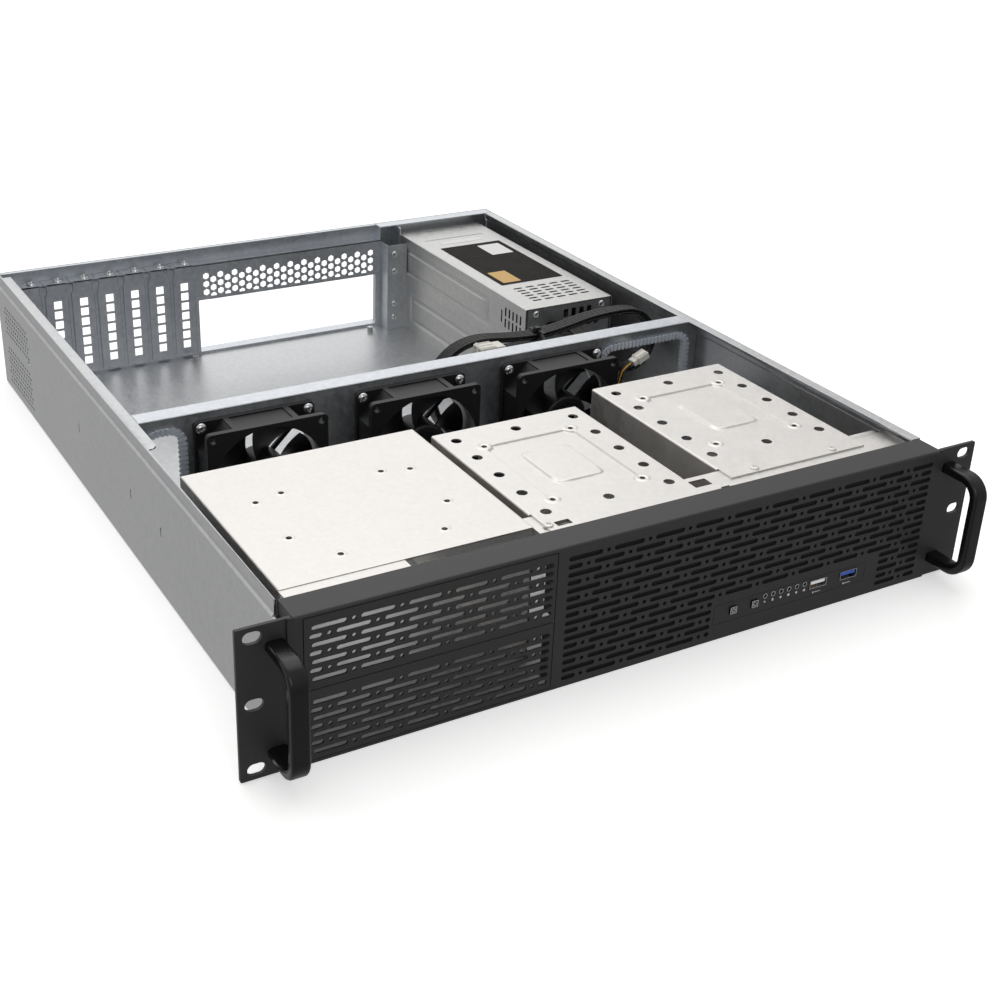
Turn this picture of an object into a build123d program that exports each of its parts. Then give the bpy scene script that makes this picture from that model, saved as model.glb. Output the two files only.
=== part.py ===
from build123d import *
import os
from math import atan2, degrees, floor, radians, tan

# An empty 2U rack server case without its top cover: tray, rear panel, fan wall, drive cages,
# vented front, rack ears with handles and a power supply. Built with the front face of the
# ears at Y = 0, the rear at +Y and the underside at Z = 0, then moved to the middle of its box.

# Case
case_width = 430.0
case_height = 88.0
case_depth = 549.0
sheet = 1.0
bend = 0.5
fit = 0.3
half = case_width / 2
wall_inner = half - sheet
round_sides = 18
few_sides = 6

# Tray: joggled band for the missing cover, lips along the top and slots in both walls
band_height = 8.0
band_step = 1.5
band_start = 18.6
lip_width = 7.0
lip_left_start = 206.0
lip_end_gap = 12.0
wall_slots_y = (184.5, 239.0, 345.6)
wall_slot_width = 1.6
wall_slot_height = 6.5
wall_slot_z = 44.2

# Ears and handles; the ear slots keep the hole spacing of a 19 inch rack
ear_reach = 26.3
rack_half = half + ear_reach
ear_thickness = 2.0
ear_flange_depth = 26.0
ear_flange_bottom = 1.6
ear_corner = 1.0
ear_slot_inset = 8.75
ear_slot_pitch = 38.1
ear_slot_width = 6.8
ear_slot_length = 10.0
handle_inset = 6.0
handle_reach = 30.0
handle_width = 10.5
handle_thickness = 6.0
handle_height = 68.0
handle_bend = 14.0
handle_edge = 1.0

# Bezel and the opening for the two drive bay covers
bezel_sheet = 1.2
bezel_lip = 18.0
bezel_ear_gap = 0.3
bezel_floor_gap = 1.3
opening_inset = 8.0
opening_width = 145.5
opening_left = opening_inset - half
opening_right = opening_left + opening_width
opening_bottom = 1.6
opening_top = case_height - 1.8
cover_gap = 0.5
cover_lip = 8.0
cover_lip_inset = 3.0
clip_reach = 1.4
clip_height = 6.0
clip_inset = 9.0

# Grille pattern of long slots
slot_height = 2.8
slot_length = 18.6
slot_short = 8.4
slot_period = 27.0
slot_least = 4.0
grille_end_cut = 1.6
row_pitch = 4.97
grille_inset = 8.8
grille_left = opening_right + 6.9
grille_right = half - grille_inset
grille_rows = 16
grille_top = case_height - 7.8
panel_right = grille_right - 32.7
panel_left = panel_right - 126.5
panel_rows = 5
bay_rows = 7
bay_slot_inset = 4.0
bay_slot_end = 2.4
bay_row_top = 6.2
bay_row_shift = 0.6
bay_period = 26.6

# Front controls, placed from the case's right side
control_z = 17.6
power_x = half - 153.0
reset_x = power_x + 15.8
button_size = 4.8
button_stand = 1.0
button_travel = 0.8
button_gap = 0.25
button_collar = 1.2
button_stem = 2.4
led_x = power_x + 23.8
led_pitch = 6.0
led_count = 6
led_radius = 0.9
led_z = 20.3
usb_z = 18.6
usb_left_x = half - 88.8
usb_right_x = usb_left_x + 23.8
usb_width = 13.1
usb_height = 5.7
usb_wall = 0.4
usb_base_depth = 4.0
tongue_inset = 1.3
tongue_thickness = 1.8
tongue_rise = 0.9
board_left = power_x - 8.0
board_right = usb_right_x + 14.0
board_bottom = 8.0
board_top = 27.0
board_thickness = 1.6
board_y = 13.5
post_radius = 2.4
post_offset = 26.2
switch_front = 9.5
switch_size = 6.0

# Drive cages
cage_top = case_height - 5.0
cage_foot = 8.0
bay_cage_inset = 10.0
bay_cage_width = 149.6
bay_cage_left = bay_cage_inset - half
bay_cage_right = bay_cage_left + bay_cage_width
bay_cage_front = 33.5
bay_cage_back = 174.0
bay_cage_holes = ((48.1, 126.0), (30.9, 130.6), (48.1, 81.0), (30.9, 53.0))
bay_hole_radius = 1.7
drive_cage_width = 105.0
middle_cage_gap = 4.9
middle_cage_x = bay_cage_right + middle_cage_gap + drive_cage_width / 2
middle_cage_front = 25.0
middle_cage_back = 160.0
right_cage_margin = 6.5
right_cage_x = (middle_cage_x + drive_cage_width / 2 + half - right_cage_margin) / 2
right_cage_front = 34.0
right_cage_back = 178.5
drive_hole_pitch = 25.4
drive_hole_rows = 5
drive_hole_radius = 3.3
drive_hole_span = 84.0
drive_hole_back = 12.5
small_drive_x = 61.72
small_drive_y = 76.6
small_drive_back = 14.3
small_hole_radius = 1.75
press_depth = 0.8
press_border = 4.0
press_corner = 3.0
press_island = (33.0, 43.0)
rail_front = 18.6
rail_back = 46.0
rail_drop = 10.0
rail_end_drop = 18.0
rail_end_gap = 8.0
rail_notches = ((109.9, 34.0, 12.0, 8.0), (123.4, 23.5, 6.0, 5.0))

# Fan wall and fans
wall_y = 242.0
wall_flange = 14.5
fan_size = 80.0
fan_count = 3
fan_depth = 25.0
fan_hole_span = 71.5
fan_pitch = 110.0
fan_floor_gap = 2.4
fan_z = sheet + fan_floor_gap + fan_size / 2
fan_bore = fan_size / 2 - 2.0
fan_tip_gap = 1.4
fan_flange = 4.0
fan_corner = 2.0
fan_waist = 1.5
fan_waist_corner = 17.0
strut_width = 3.0
strut_depth = 2.5
hub_radius = 17.0
hub_front_gap = 1.5
hub_back_gap = 5.0
bearing_floor = 1.5
blade_count = 7
blade_thickness = 1.4
blade_half = 9.0
blade_camber = 2.4
blade_root = 2.0
shaft_radius = 1.5
shaft_gap = 0.05
fan_screw_radius = 2.1
fan_screw_gap = 0.2
screw_head_radius = 3.6
screw_head_height = 1.8
cable_hole_inset = 12.0
left_hole_left = cable_hole_inset - half
left_hole_right = left_hole_left + 23.0
fan_first_x = left_hole_right + 7.3 + fan_size / 2
fan_last_x = fan_first_x + (fan_count - 1) * fan_pitch
right_hole_left = fan_last_x + fan_size / 2 + 3.7
right_hole_right = half - cable_hole_inset
cable_hole_top = case_height - 9.0
cable_hole_bottom = 24.0
cable_hole_corner = 6.0
trim_overlap = 3.0
trim_thickness = 1.2

# Power supply, its fan and its mains inlet
psu_width = 77.6
psu_height = 80.0
psu_depth = 219.0
psu_side_gap = 16.7
psu_left = half - psu_side_gap - psu_width
psu_front = case_depth - sheet - psu_depth
psu_sheet = 0.8
psu_window_rim = 3.0
psu_vent_columns = 5
psu_vent_rows = 6
psu_vent_size = (8.0, 2.4)
psu_vent_pitch = (10.8, 5.7)
psu_vent_first = (19.5, 15.5)
psu_side_vent_pitch = 5.4
psu_side_vent_first = 7.0
psu_side_vents = 5
psu_side_vent = (2.0, 14.0)
psu_side_vent_drop = 15.0
psu_hole = (24.0, 9.0)
psu_hole_x = 31.0
psu_hole_drop = 17.4
psu_front_vents = 4
psu_front_vent = (4.0, 7.0)
psu_front_vent_x = 36.0
psu_front_vent_pitch = 7.0
psu_front_vent_drop = 8.0
psu_fan_size = 50.0
psu_fan_radius = 23.5
psu_fan_z = 53.5
psu_fan_depth = 15.0
psu_hub_radius = 12.0
psu_spider = 2.0
psu_blade_count = 5
inlet_width = 27.5
inlet_height = 19.5
inlet_z = 14.0
inlet_depth = 22.0
inlet_wall = 1.75
inlet_pin = (2.0, 4.0)
inlet_pins = ((-7.0, -2.0), (0.0, 2.0), (7.0, -2.0))
guard_wire = 1.2
guard_radius = 14.0

# Inside the power supply
psu_board_rise = 5.0
psu_board_margin = 8.0
psu_board_post = 5.0
transformer_size = (30.0, 36.0, 34.0)
sink_size = (3.0, 70.0, 48.0)
sink_offset = (25.0, -34.0)
can_radius = 10.0
can_height = 40.0
can_offset = (11.5, 38.0)

# Rear panel, set out from the power supply: bracket, port opening, expansion slots
recess = 11.5
shelf_z = case_height - 11.0
step_x = psu_left - psu_side_gap
io_width = 158.75
io_height = 44.45
io_bottom = 3.0
io_left = step_x - 5.25 - io_width
slot_pitch = 20.32
first_slot_x = io_left - 11.6
slot_open_width = 13.0
slot_open_bottom = 8.0
slot_open_top = shelf_z - 7.0
cover_width = 18.6
cover_sheet = 0.8
vent_square = 6.3
vent_pitch = 8.07
vent_count = 7
vent_top = 60.8
perf_pitch_x = 6.12
perf_pitch_z = 6.85
perf_radius = 2.6
perf_sides = 4
perf_columns = 25
perf_rows = 3
perf_left = io_left + 7.5
perf_top = 67.6
hook_slots_z = (18.0, 30.0, 58.0, 70.0)
bracket_depth = 16.0

# Main board supports, on the standard board pattern
board_hole_x = io_left + 148.6
board_hole_y = case_depth - recess - 11.9
board_columns = (0.0, 157.48, 281.94)
board_rows = (0.0, 154.94, 227.33)
standoff_height = 4.0
standoff_radius = 2.6

# Cables from the power supply, and one fan's lead; their routes are chosen by hand
cable_sides = 6
main_cable = 6.0
main_route = [(156.0, 331.0, 64.0), (156.0, 313.0, 63.0), (160.0, 297.0, 52.0), (175.0, 288.0, 40.0),
              (193.0, 286.0, 40.0), (206.0, 287.0, 53.0), (206.0, 289.0, 71.0), (193.0, 291.0, 84.0),
              (175.0, 293.0, 84.5), (152.0, 294.0, 83.0), (128.0, 291.0, 80.0), (104.0, 289.5, 78.0),
              (79.0, 289.0, 80.0), (56.0, 290.0, 83.0), (36.0, 288.5, 79.0), (21.0, 287.0, 66.0),
              (16.0, 285.0, 47.0), (22.0, 283.0, 28.0), (36.0, 283.0, 12.5), (50.0, 284.0, 6.4),
              (66.0, 284.0, 6.4)]
main_plug = (52.0, 10.0, 14.0)
drive_cable = 5.0
drive_route = [(147.5, 331.0, 64.0), (147.5, 313.0, 65.0), (141.0, 297.0, 68.0), (126.0, 287.0, 71.0),
               (106.0, 282.0, 74.5), (87.0, 276.0, 79.0), (69.0, 276.0, 79.0)]
drive_plug = (13.0, 8.0, 20.0)
fan_lead = 2.4
lead_route = [(125.8, 230.0, 50.5), (132.8, 230.0, 50.5), (138.3, 230.3, 54.5), (139.8, 230.5, 61.0),
              (142.3, 230.6, 67.4), (148.6, 230.6, 70.35)]
lead_plug = (8.0, 5.0, 13.0)
tie_x = 105.0
tie_main = (289.6, 78.2)
tie_drive = (281.8, 74.7)
tie_gap = 0.8
tie_width = 3.0
tie_wall = 1.2
tie_corner = 1.2


def sheet_outline(points, thickness, inner_bend=bend):
    """Closed outline of a folded sheet: its outer face follows the points, metal on their left."""
    pts = [Vector(*p) for p in points]
    normals = []
    for a, b in zip(pts, pts[1:]):
        d = (b - a).normalized()
        normals.append(Vector(-d.Y, d.X))
    inner = [pts[0] + normals[0] * thickness]
    outer_radii = [0.0]
    inner_radii = [0.0]
    for i in range(1, len(pts) - 1):
        n0, n1 = normals[i - 1], normals[i]
        mitre = (n0 + n1) * (thickness / (1 + n0.dot(n1)))
        inner.append(pts[i] + mitre)
        turn = n0.X * n1.Y - n0.Y * n1.X
        outer_radii.append(inner_bend + thickness if turn > 0 else inner_bend)
        inner_radii.append(inner_bend if turn > 0 else inner_bend + thickness)
    inner.append(pts[-1] + normals[-1] * thickness)
    outer_radii.append(0.0)
    inner_radii.append(0.0)
    ring = [tuple(p)[:2] for p in pts + inner[::-1]]
    return FilletPolyline(*ring, radius=outer_radii + inner_radii[::-1], close=True)


def along_y(outline, y0, y1):
    """Extrude an X-Z outline from y0 to y1."""
    face = make_face(outline) if not isinstance(outline, Sketch) else outline
    return Pos(0, y0, 0) * extrude(Plane.XZ * face, amount=-(y1 - y0))


def wall_edge():
    """Points of a cross panel's edge that clears the joggled side wall, from the floor up."""
    low = case_height - band_height - band_step - 2 * fit
    x_low = half - sheet - fit
    x_high = x_low - band_step
    foot = [(x_low - bend, sheet), (x_low, sheet + bend)]
    return foot + [(x_low, low - fit), (x_high, low + band_step)]


def along_x(outline, x0, x1):
    """Extrude a Y-Z outline from x0 to x1."""
    face = make_face(outline) if not isinstance(outline, Sketch) else outline
    return Pos(x0, 0, 0) * extrude(Plane.YZ * face, amount=x1 - x0)


def block(x0, x1, y0, y1, z0, z1):
    """A box between two corners."""
    centre = ((x0 + x1) / 2, (y0 + y1) / 2, (z0 + z1) / 2)
    return Pos(*centre) * Box(abs(x1 - x0), abs(y1 - y0), abs(z1 - z0))


def rod(x, z, radius, y0, y1):
    """A bar along Y with enough sides to pass for round."""
    return along_y(Pos(x, z) * RegularPolygon(radius, round_sides), y0, y1)


def plate_y(sketch, y0, y1):
    """A flat plate in the X-Z plane."""
    return along_y(Sketch() + sketch, y0, y1)


def screw(head_radius, head_height, shank_radius, shank_length):
    """A screw with its head standing on Z = 0 and its shank below, both with few sides."""
    head = extrude(RegularPolygon(head_radius, 6), amount=head_height)
    shank = extrude(RegularPolygon(shank_radius, 4), amount=-shank_length)
    return head + shank


def chassis_tray():
    """Floor and both side walls, folded from one sheet, with a lip along each wall's top."""
    top = case_height
    band_z = top - band_height
    inset = half - band_step
    low = band_z - band_step
    outline = [(-inset, top), (-inset, band_z), (-half, low), (-half, 0)]
    outline += [(half, 0), (half, low), (inset, band_z), (inset, top)]
    body = along_y(sheet_outline(outline, sheet), ear_thickness, case_depth)
    for side in (-1, 1):
        x = side * half
        body -= block(x - side * 4, x + side, 0, band_start, low + 0.2, top + 1)
    lip_end = case_depth - lip_end_gap
    left_lip = block(-inset, -inset + lip_width, lip_left_start, lip_end, top - sheet, top)
    corner = left_lip.edges().filter_by(Axis.Z).sort_by(Axis.Y)[:2].sort_by(Axis.X)[-1]
    body += fillet(corner, lip_width * 0.7)
    body += block(inset - lip_width, inset, band_start, lip_end, top - sheet, top)
    slot = Box(2 * half + 2, wall_slot_width, wall_slot_height)
    for y in wall_slots_y:
        body -= Pos(0, y, wall_slot_z) * slot
    return body


def ear(side):
    """A rack ear: slotted front plate and the flange that lies inside the tray's wall."""
    flange_inner = wall_inner - ear_thickness
    plate = Rectangle(rack_half - flange_inner, case_height)
    plate = Pos((rack_half + flange_inner) / 2, case_height / 2) * plate
    outer = plate.vertices().sort_by(Axis.X)[-2:]
    plate = chamfer(outer, ear_corner)
    for k in (-1, 0, 1):
        at = Pos(rack_half - ear_slot_inset, case_height / 2 + k * ear_slot_pitch)
        plate -= at * SlotOverall(ear_slot_length, ear_slot_width)
    body = plate_y(plate, 0, ear_thickness)
    top = case_height - band_height - band_step - sheet
    body += block(flange_inner, wall_inner, ear_thickness, ear_flange_depth, ear_flange_bottom, top)
    return body if side > 0 else mirror(body, Plane.YZ)


def handle(side):
    """A handle bent from flat bar, standing on the ear."""
    low = (case_height - handle_height) / 2
    top = low + handle_height
    t = handle_thickness
    outline = [(0, top), (-handle_reach, top), (-handle_reach, low), (0, low)]
    inner_bend = handle_bend - t
    shape = make_face(sheet_outline(outline, t, inner_bend))
    middle = half + handle_inset
    body = along_x(Sketch() + shape, middle - handle_width / 2, middle + handle_width / 2)
    long_edges = body.edges().filter_by(Axis.Z)
    body = chamfer(long_edges, handle_edge)
    return body if side > 0 else mirror(body, Plane.YZ)


def slot_row(left, right, z, first_length):
    """One row of grille slots between two edges, set out from the right end."""
    found = []
    edge = right
    length = first_length
    while edge - length > left - 0.1:
        found.append(Pos(edge - length / 2, z) * Rectangle(length, slot_height))
        edge -= length + slot_period - slot_length
        length = slot_length
        if edge - length < left - 0.1 and edge - left > slot_least:
            length = edge - left
    return found


def grille_slots():
    """All slots of the main grille, with the plain field for the controls left out."""
    found = []
    for row in range(grille_rows):
        z = grille_top - row * row_pitch
        length = slot_length - grille_end_cut if row % 2 == 0 else slot_short
        if row < grille_rows - panel_rows:
            found += slot_row(grille_left, grille_right, z, length)
        else:
            found += slot_row(grille_left, panel_left, z, length)
            found += slot_row(panel_right, grille_right, z, length)
    return found


def bezel():
    """Front panel, folded back along all four sides, with its grille and bay opening."""
    face = Pos(0, case_height / 2) * Rectangle(2 * half, case_height)
    window_x = (opening_left + opening_right) / 2
    window_z = (opening_bottom + opening_top) / 2
    window = Rectangle(opening_right - opening_left, opening_top - opening_bottom)
    face -= Pos(window_x, window_z) * window
    face -= Sketch() + grille_slots()
    for x in (power_x, reset_x):
        size = button_size + 2 * button_gap
        face -= Pos(x, control_z) * Rectangle(size, size)
    for k in range(led_count):
        side = 2 * led_radius + fit
        face -= Pos(led_x + k * led_pitch, led_z) * Rectangle(side, side)
    for x in (usb_left_x, usb_right_x):
        face -= Pos(x, usb_z) * Rectangle(usb_width + 2 * fit, usb_height + 2 * fit)
    body = plate_y(face, -bezel_sheet, 0)
    x1 = half - sheet - ear_thickness - bezel_ear_gap
    t = bezel_sheet
    body += block(-x1, x1, 0, bezel_lip, case_height - t, case_height)
    low = bezel_floor_gap
    body += block(opening_right + 2 * t, x1, 0, bezel_lip, low, low + t)
    body += block(-x1, opening_left - t, 0, bezel_lip, low, low + t)
    for side in (-1, 1):
        body += block(side * (x1 - t), side * x1, 0, bezel_lip, low, case_height)
    return body


def bay_cover(level):
    """A vented cover that closes one drive bay opening; level 0 is the lower one."""
    tall = (opening_top - opening_bottom - 3 * cover_gap) / 2
    wide = opening_right - opening_left - 2 * cover_gap
    z0 = opening_bottom + cover_gap + level * (tall + cover_gap)
    x0 = opening_left + cover_gap
    face = Pos(x0 + wide / 2, z0 + tall / 2) * Rectangle(wide, tall)
    first = x0 + bay_slot_inset
    last = x0 + wide - bay_slot_end
    for row in range(bay_rows):
        z = z0 + tall - bay_row_top - row * row_pitch
        edge = first if row % 2 == 0 else first - bay_row_shift
        length = slot_length if row % 2 == 0 else slot_short
        while edge < last - slot_least:
            end = min(edge + length, last)
            face -= Pos((edge + end) / 2, z) * Rectangle(end - edge, slot_height)
            edge = end + (bay_period - slot_length)
            length = slot_length
    body = plate_y(face, -bezel_sheet, 0)
    for x, out in ((x0, -1), (x0 + wide, 1)):
        low, high = z0 + cover_lip_inset, z0 + tall - cover_lip_inset
        body += block(x, x - out * bezel_sheet, 0, cover_lip, low, high)
        for z in (z0 + clip_inset, z0 + tall - clip_inset - clip_height):
            reach = x + out * (cover_gap + clip_reach)
            body += block(x, reach, fit, fit + bezel_sheet, z, z + clip_height)
    return body


def front_rail():
    """Galvanised cross rail behind the bezel, carrying the front of the drive cages."""
    top = cage_top - sheet
    left = bay_cage_right
    right = wall_inner - ear_thickness
    points = [(rail_back, top), (rail_front, top), (rail_front, top - rail_drop)]
    body = along_x(sheet_outline(points, sheet), left, right)
    for x in (left, right - sheet):
        body += block(x, x + sheet, rail_front, rail_back - rail_end_gap, top - rail_end_drop, top)
    for x, y, w, d in rail_notches:
        body -= block(left + x, left + x + w, y, y + d, top - rail_drop, top + sheet)
    return body


def cage_shell(x0, x1, y0, y1, side_start):
    """Inverted U of sheet with feet turned inwards."""
    z0 = sheet
    points = [(x0 + cage_foot, z0), (x0, z0), (x0, cage_top), (x1, cage_top), (x1, z0)]
    points.append((x1 - cage_foot, z0))
    body = along_y(sheet_outline(points[::-1], sheet), y0, y1)
    if side_start > y0:
        body -= block(x0 - 1, x1 + 1, y0 - 1, side_start, 0, cage_top - sheet)
    return body


def through_hole(radius):
    """Cutter for a small round hole in a top plate, with few sides."""
    return extrude(RegularPolygon(radius, few_sides), amount=2 * sheet, both=True)


def bay_cage():
    """Cage for two wide drives, one above the other, with its flat top plate."""
    body = cage_shell(bay_cage_left, bay_cage_right, bay_cage_front, bay_cage_back, 0)
    x_mid = (bay_cage_left + bay_cage_right) / 2
    hole = through_hole(bay_hole_radius)
    for dx, y in bay_cage_holes:
        for side in (-1, 1):
            body -= Pos(x_mid + side * dx, y, cage_top) * hole
    return body


def drive_cage(x_mid, y0, y1, side_start, small_hole):
    """Cage for small drives: large screwdriver holes and a pressed pattern in its top."""
    x0 = x_mid - drive_cage_width / 2
    x1 = x_mid + drive_cage_width / 2
    body = cage_shell(x0, x1, y0, y1, side_start)
    back = y1 - drive_hole_back
    sx, sy = small_drive_x / 2, small_drive_y / 2
    y_mid = back - small_drive_back - sy
    field = Rectangle(small_drive_x + 2 * press_border, small_drive_y + 2 * press_border)
    field = chamfer(field.vertices(), press_corner)
    island = chamfer(Rectangle(*press_island).vertices(), press_corner)
    pressed = Pos(x_mid, y_mid, 0) * extrude(field - island, amount=press_depth)
    body += Pos(0, 0, cage_top - sheet - press_depth) * pressed
    body -= Pos(0, 0, cage_top - press_depth) * pressed
    large = through_hole(drive_hole_radius)
    for kx in (-1, 1):
        for ky in (-1, 1):
            body -= Pos(x_mid + kx * sx, y_mid + ky * sy, cage_top) * small_hole
        for row in range(drive_hole_rows):
            body -= Pos(x_mid + kx * drive_hole_span / 2, back - row * drive_hole_pitch, cage_top) * large
    for y in (back, back - (drive_hole_rows - 1) * drive_hole_pitch):
        body -= Pos(x_mid, y, cage_top) * large
    return body


def cable_opening(x0, x1):
    """Outline of an arched cable opening in the fan wall."""
    shape = Pos((x0 + x1) / 2, (cable_hole_bottom + cable_hole_top) / 2)
    shape = shape * Rectangle(x1 - x0, cable_hole_top - cable_hole_bottom)
    top = shape.vertices().sort_by(Axis.Y)[-2:]
    return chamfer(top, min(cable_hole_corner, (x1 - x0) / 4))


def fan_positions():
    """Middles of the three fans across the case."""
    return [fan_first_x + k * fan_pitch for k in range(fan_count)]


def fan_wall():
    """Folded cross wall that carries the fans."""
    edge = wall_edge()
    x_low = edge[1][0]
    x_high = edge[3][0]
    x_lip = half - band_step - lip_width - fit
    low = case_height - band_height - band_step
    right = edge + [(x_high, case_height - sheet - fit)]
    outline = right + [(-x, z) for x, z in right[::-1]]
    face = Sketch() + make_face(Polyline(*outline, close=True))
    face += Pos(0, case_height - sheet) * Rectangle(2 * x_lip, 2 * sheet)
    for x in fan_positions():
        face -= Pos(x, fan_z) * RegularPolygon(fan_bore, round_sides)
        for kx in (-1, 1):
            for kz in (-1, 1):
                at = Pos(x + kx * fan_hole_span / 2, fan_z + kz * fan_hole_span / 2)
                face -= at * RegularPolygon(fan_screw_radius, 4)
    face -= cable_opening(left_hole_left, left_hole_right)
    face -= cable_opening(right_hole_left, right_hole_right)
    body = plate_y(face, wall_y, wall_y + sheet)
    back = wall_y + wall_flange
    body += block(-x_lip, x_lip, wall_y, back, case_height - sheet, case_height)
    foot = x_low - 6 * sheet
    body += block(-foot, foot, wall_y, back, sheet, 2 * sheet)
    for side in (-1, 1):
        body += block(side * (x_low - sheet), side * x_low, wall_y, back, 4 * sheet, low - 2 * sheet)
    return body


def edge_trim(x0, x1):
    """Translucent push-on trim with teeth, round the edge of a cable opening."""
    hole = cable_opening(x0, x1)
    inner = offset(hole, amount=-trim_thickness, kind=Kind.INTERSECTION)
    lip = offset(hole, amount=trim_overlap - trim_thickness, kind=Kind.INTERSECTION) - inner
    front = plate_y(lip, wall_y - trim_thickness, wall_y)
    rear = plate_y(lip, wall_y + sheet, wall_y + sheet + trim_thickness)
    rim = offset(hole, amount=-0.02, kind=Kind.INTERSECTION)
    neck = plate_y(rim - inner, wall_y - trim_thickness, wall_y + sheet + trim_thickness)
    return front + neck + rear


def fan_frame(x):
    """Square fan housing with a round duct, four struts and the motor seat."""
    y0, y1 = wall_y - fan_depth, wall_y
    square = chamfer(Rectangle(fan_size, fan_size).vertices(), fan_corner)
    holes = Sketch()
    for kx in (-1, 1):
        for kz in (-1, 1):
            at = Pos(kx * fan_hole_span / 2, kz * fan_hole_span / 2)
            holes += at * RegularPolygon(fan_screw_radius, 4)
    duct = RegularPolygon(fan_bore, round_sides)
    flange = square - duct - holes
    waist = Rectangle(fan_size - 2 * fan_waist, fan_size - 2 * fan_waist)
    waist = chamfer(waist.vertices(), fan_waist_corner) - duct
    here = Pos(x, fan_z)
    body = plate_y(here * flange, y0, y0 + fan_flange)
    body += plate_y(here * flange, y1 - fan_flange, y1)
    body += plate_y(here * waist, y0 + fan_flange, y1 - fan_flange)
    spider = y1 - fit - strut_depth
    seat = here * RegularPolygon(hub_radius - 1, 8)
    body += plate_y(seat, y1 - hub_back_gap + 1, y1 - fit)
    for k in range(4):
        strut = Pos(fan_bore / 2 + 4, 0) * Rectangle(fan_bore, strut_width)
        body += plate_y(here * Rot(0, 0, 45 + 90 * k) * strut, spider, y1 - fit)
    bearing = here * Circle(shaft_radius + shaft_gap)
    return body - plate_y(bearing, y1 - hub_back_gap, y1 - bearing_floor)


def fan_rotor(x):
    """Hub, cambered blades and shaft of one fan."""
    y0, y1 = wall_y - fan_depth + hub_front_gap, wall_y - hub_back_gap
    hub = rod(x, fan_z, hub_radius, y0, y1)
    shaft = plate_y(Pos(x, fan_z) * Circle(shaft_radius), y1, wall_y - bearing_floor - fit)
    body = hub + shaft
    tip = fan_bore - fan_tip_gap
    reach = (y1 - y0) / 2 - 1
    camber = [(-blade_half, blade_thickness - reach), (0.0, blade_camber), (blade_half, reach)]
    under = [(a, b - blade_thickness) for a, b in camber[::-1]]
    profile = make_face(Polyline(*camber, *under, close=True))
    blade = extrude(Plane.XY * profile, amount=tip - hub_radius + blade_root)
    blade = Pos(0, (y0 + y1) / 2, hub_radius - blade_root) * blade
    swept = blade & rod(0, 0, tip, y0 - 1, y1 + 1)
    for k in range(blade_count):
        turn = Pos(x, 0, fan_z) * Rot(0, 360 / blade_count * k, 0)
        body += turn * swept
    return body


def fan_screws():
    """Screws through the rear flanges of the fans into the fan wall."""
    group = []
    for x in fan_positions():
        for kx in (-1, 1):
            for kz in (-1, 1):
                at = (x + kx * fan_hole_span / 2, wall_y - fan_flange, fan_z + kz * fan_hole_span / 2)
                shank = fan_screw_radius - fan_screw_gap
                length = fan_flange + sheet
                solid = screw(screw_head_radius, screw_head_height, shank, length)
                group.append(Location(at, (90, 0, 0)) * solid)
    return group


def slot_positions():
    """Middles of the expansion slots, as many as fit between the port opening and the left wall."""
    room = first_slot_x - cover_width / 2 + wall_inner - 2 * fit
    return [first_slot_x - k * slot_pitch for k in range(floor(room / slot_pitch) + 1)]


def rear_panel():
    """Rear wall: recessed slot and port area with its shelf, and the flat power supply end."""
    y_wall = case_depth - recess
    edge = wall_edge()
    x_low = edge[1][0]
    x_high = edge[3][0]
    left = [(-x, z) for x, z in edge[:2][::-1]] + [(step_x, sheet), (step_x, shelf_z)]
    left += [(-x_low, shelf_z)]
    wall = Sketch() + make_face(Polyline(*left, close=True))
    for x in slot_positions():
        height = slot_open_top - slot_open_bottom
        at = Pos(x, (slot_open_top + slot_open_bottom) / 2)
        wall -= at * Rectangle(slot_open_width, height)
    io_at = Pos(io_left + io_width / 2, io_bottom + io_height / 2)
    wall -= io_at * Rectangle(io_width, io_height)
    for column in range(perf_columns):
        for row in range(perf_rows):
            drop = row * perf_pitch_z + (column % 2) * perf_pitch_z / 2
            at = Pos(perf_left + column * perf_pitch_x, perf_top - drop)
            wall -= at * RegularPolygon(perf_radius, perf_sides)
    body = plate_y(wall, y_wall - sheet, y_wall)
    rim_top = case_height
    rim = [(-x_low, shelf_z - sheet), (step_x, shelf_z - sheet), (step_x, rim_top)]
    rim += [(-x_high, rim_top), (-x_high, edge[3][1]), (-x_low, edge[2][1])]
    body += plate_y(make_face(Polyline(*rim, close=True)), case_depth - sheet, case_depth)
    body += block(-x_low, step_x, y_wall - sheet, case_depth, shelf_z - sheet, shelf_z)
    body += block(step_x - sheet, step_x, y_wall - sheet, case_depth, sheet, case_height)
    body += block(-x_low + bend, step_x, y_wall, case_depth, sheet, 2 * sheet)
    end = [(step_x - sheet, sheet)] + edge + [(x_high, rim_top), (step_x - sheet, rim_top)]
    end_face = Sketch() + make_face(Polyline(*end, close=True))
    window = Rectangle(psu_width - 2 * psu_window_rim, psu_height - 2 * psu_window_rim)
    end_face -= Pos(psu_left + psu_width / 2, sheet + psu_height / 2) * window
    body += plate_y(end_face, case_depth - sheet, case_depth)
    body += block(step_x - sheet, x_high, y_wall, case_depth, case_height - sheet, case_height)
    return body


def slot_cover(x):
    """A low slot cover: vented strip, tab over the shelf and its screw hole."""
    y_face = case_depth - recess - sheet
    top = shelf_z + cover_sheet
    low = 3 * sheet
    face = Pos(x, (low + top) / 2) * Rectangle(cover_width, top - low)
    for k in range(vent_count):
        face -= Pos(x, vent_top - k * vent_pitch) * Rectangle(vent_square, vent_square)
    body = plate_y(face, y_face - cover_sheet, y_face)
    body += block(x - cover_width / 2, x + cover_width / 2, y_face - cover_sheet,
                  case_depth - sheet - fit, shelf_z, top)
    return body


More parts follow.
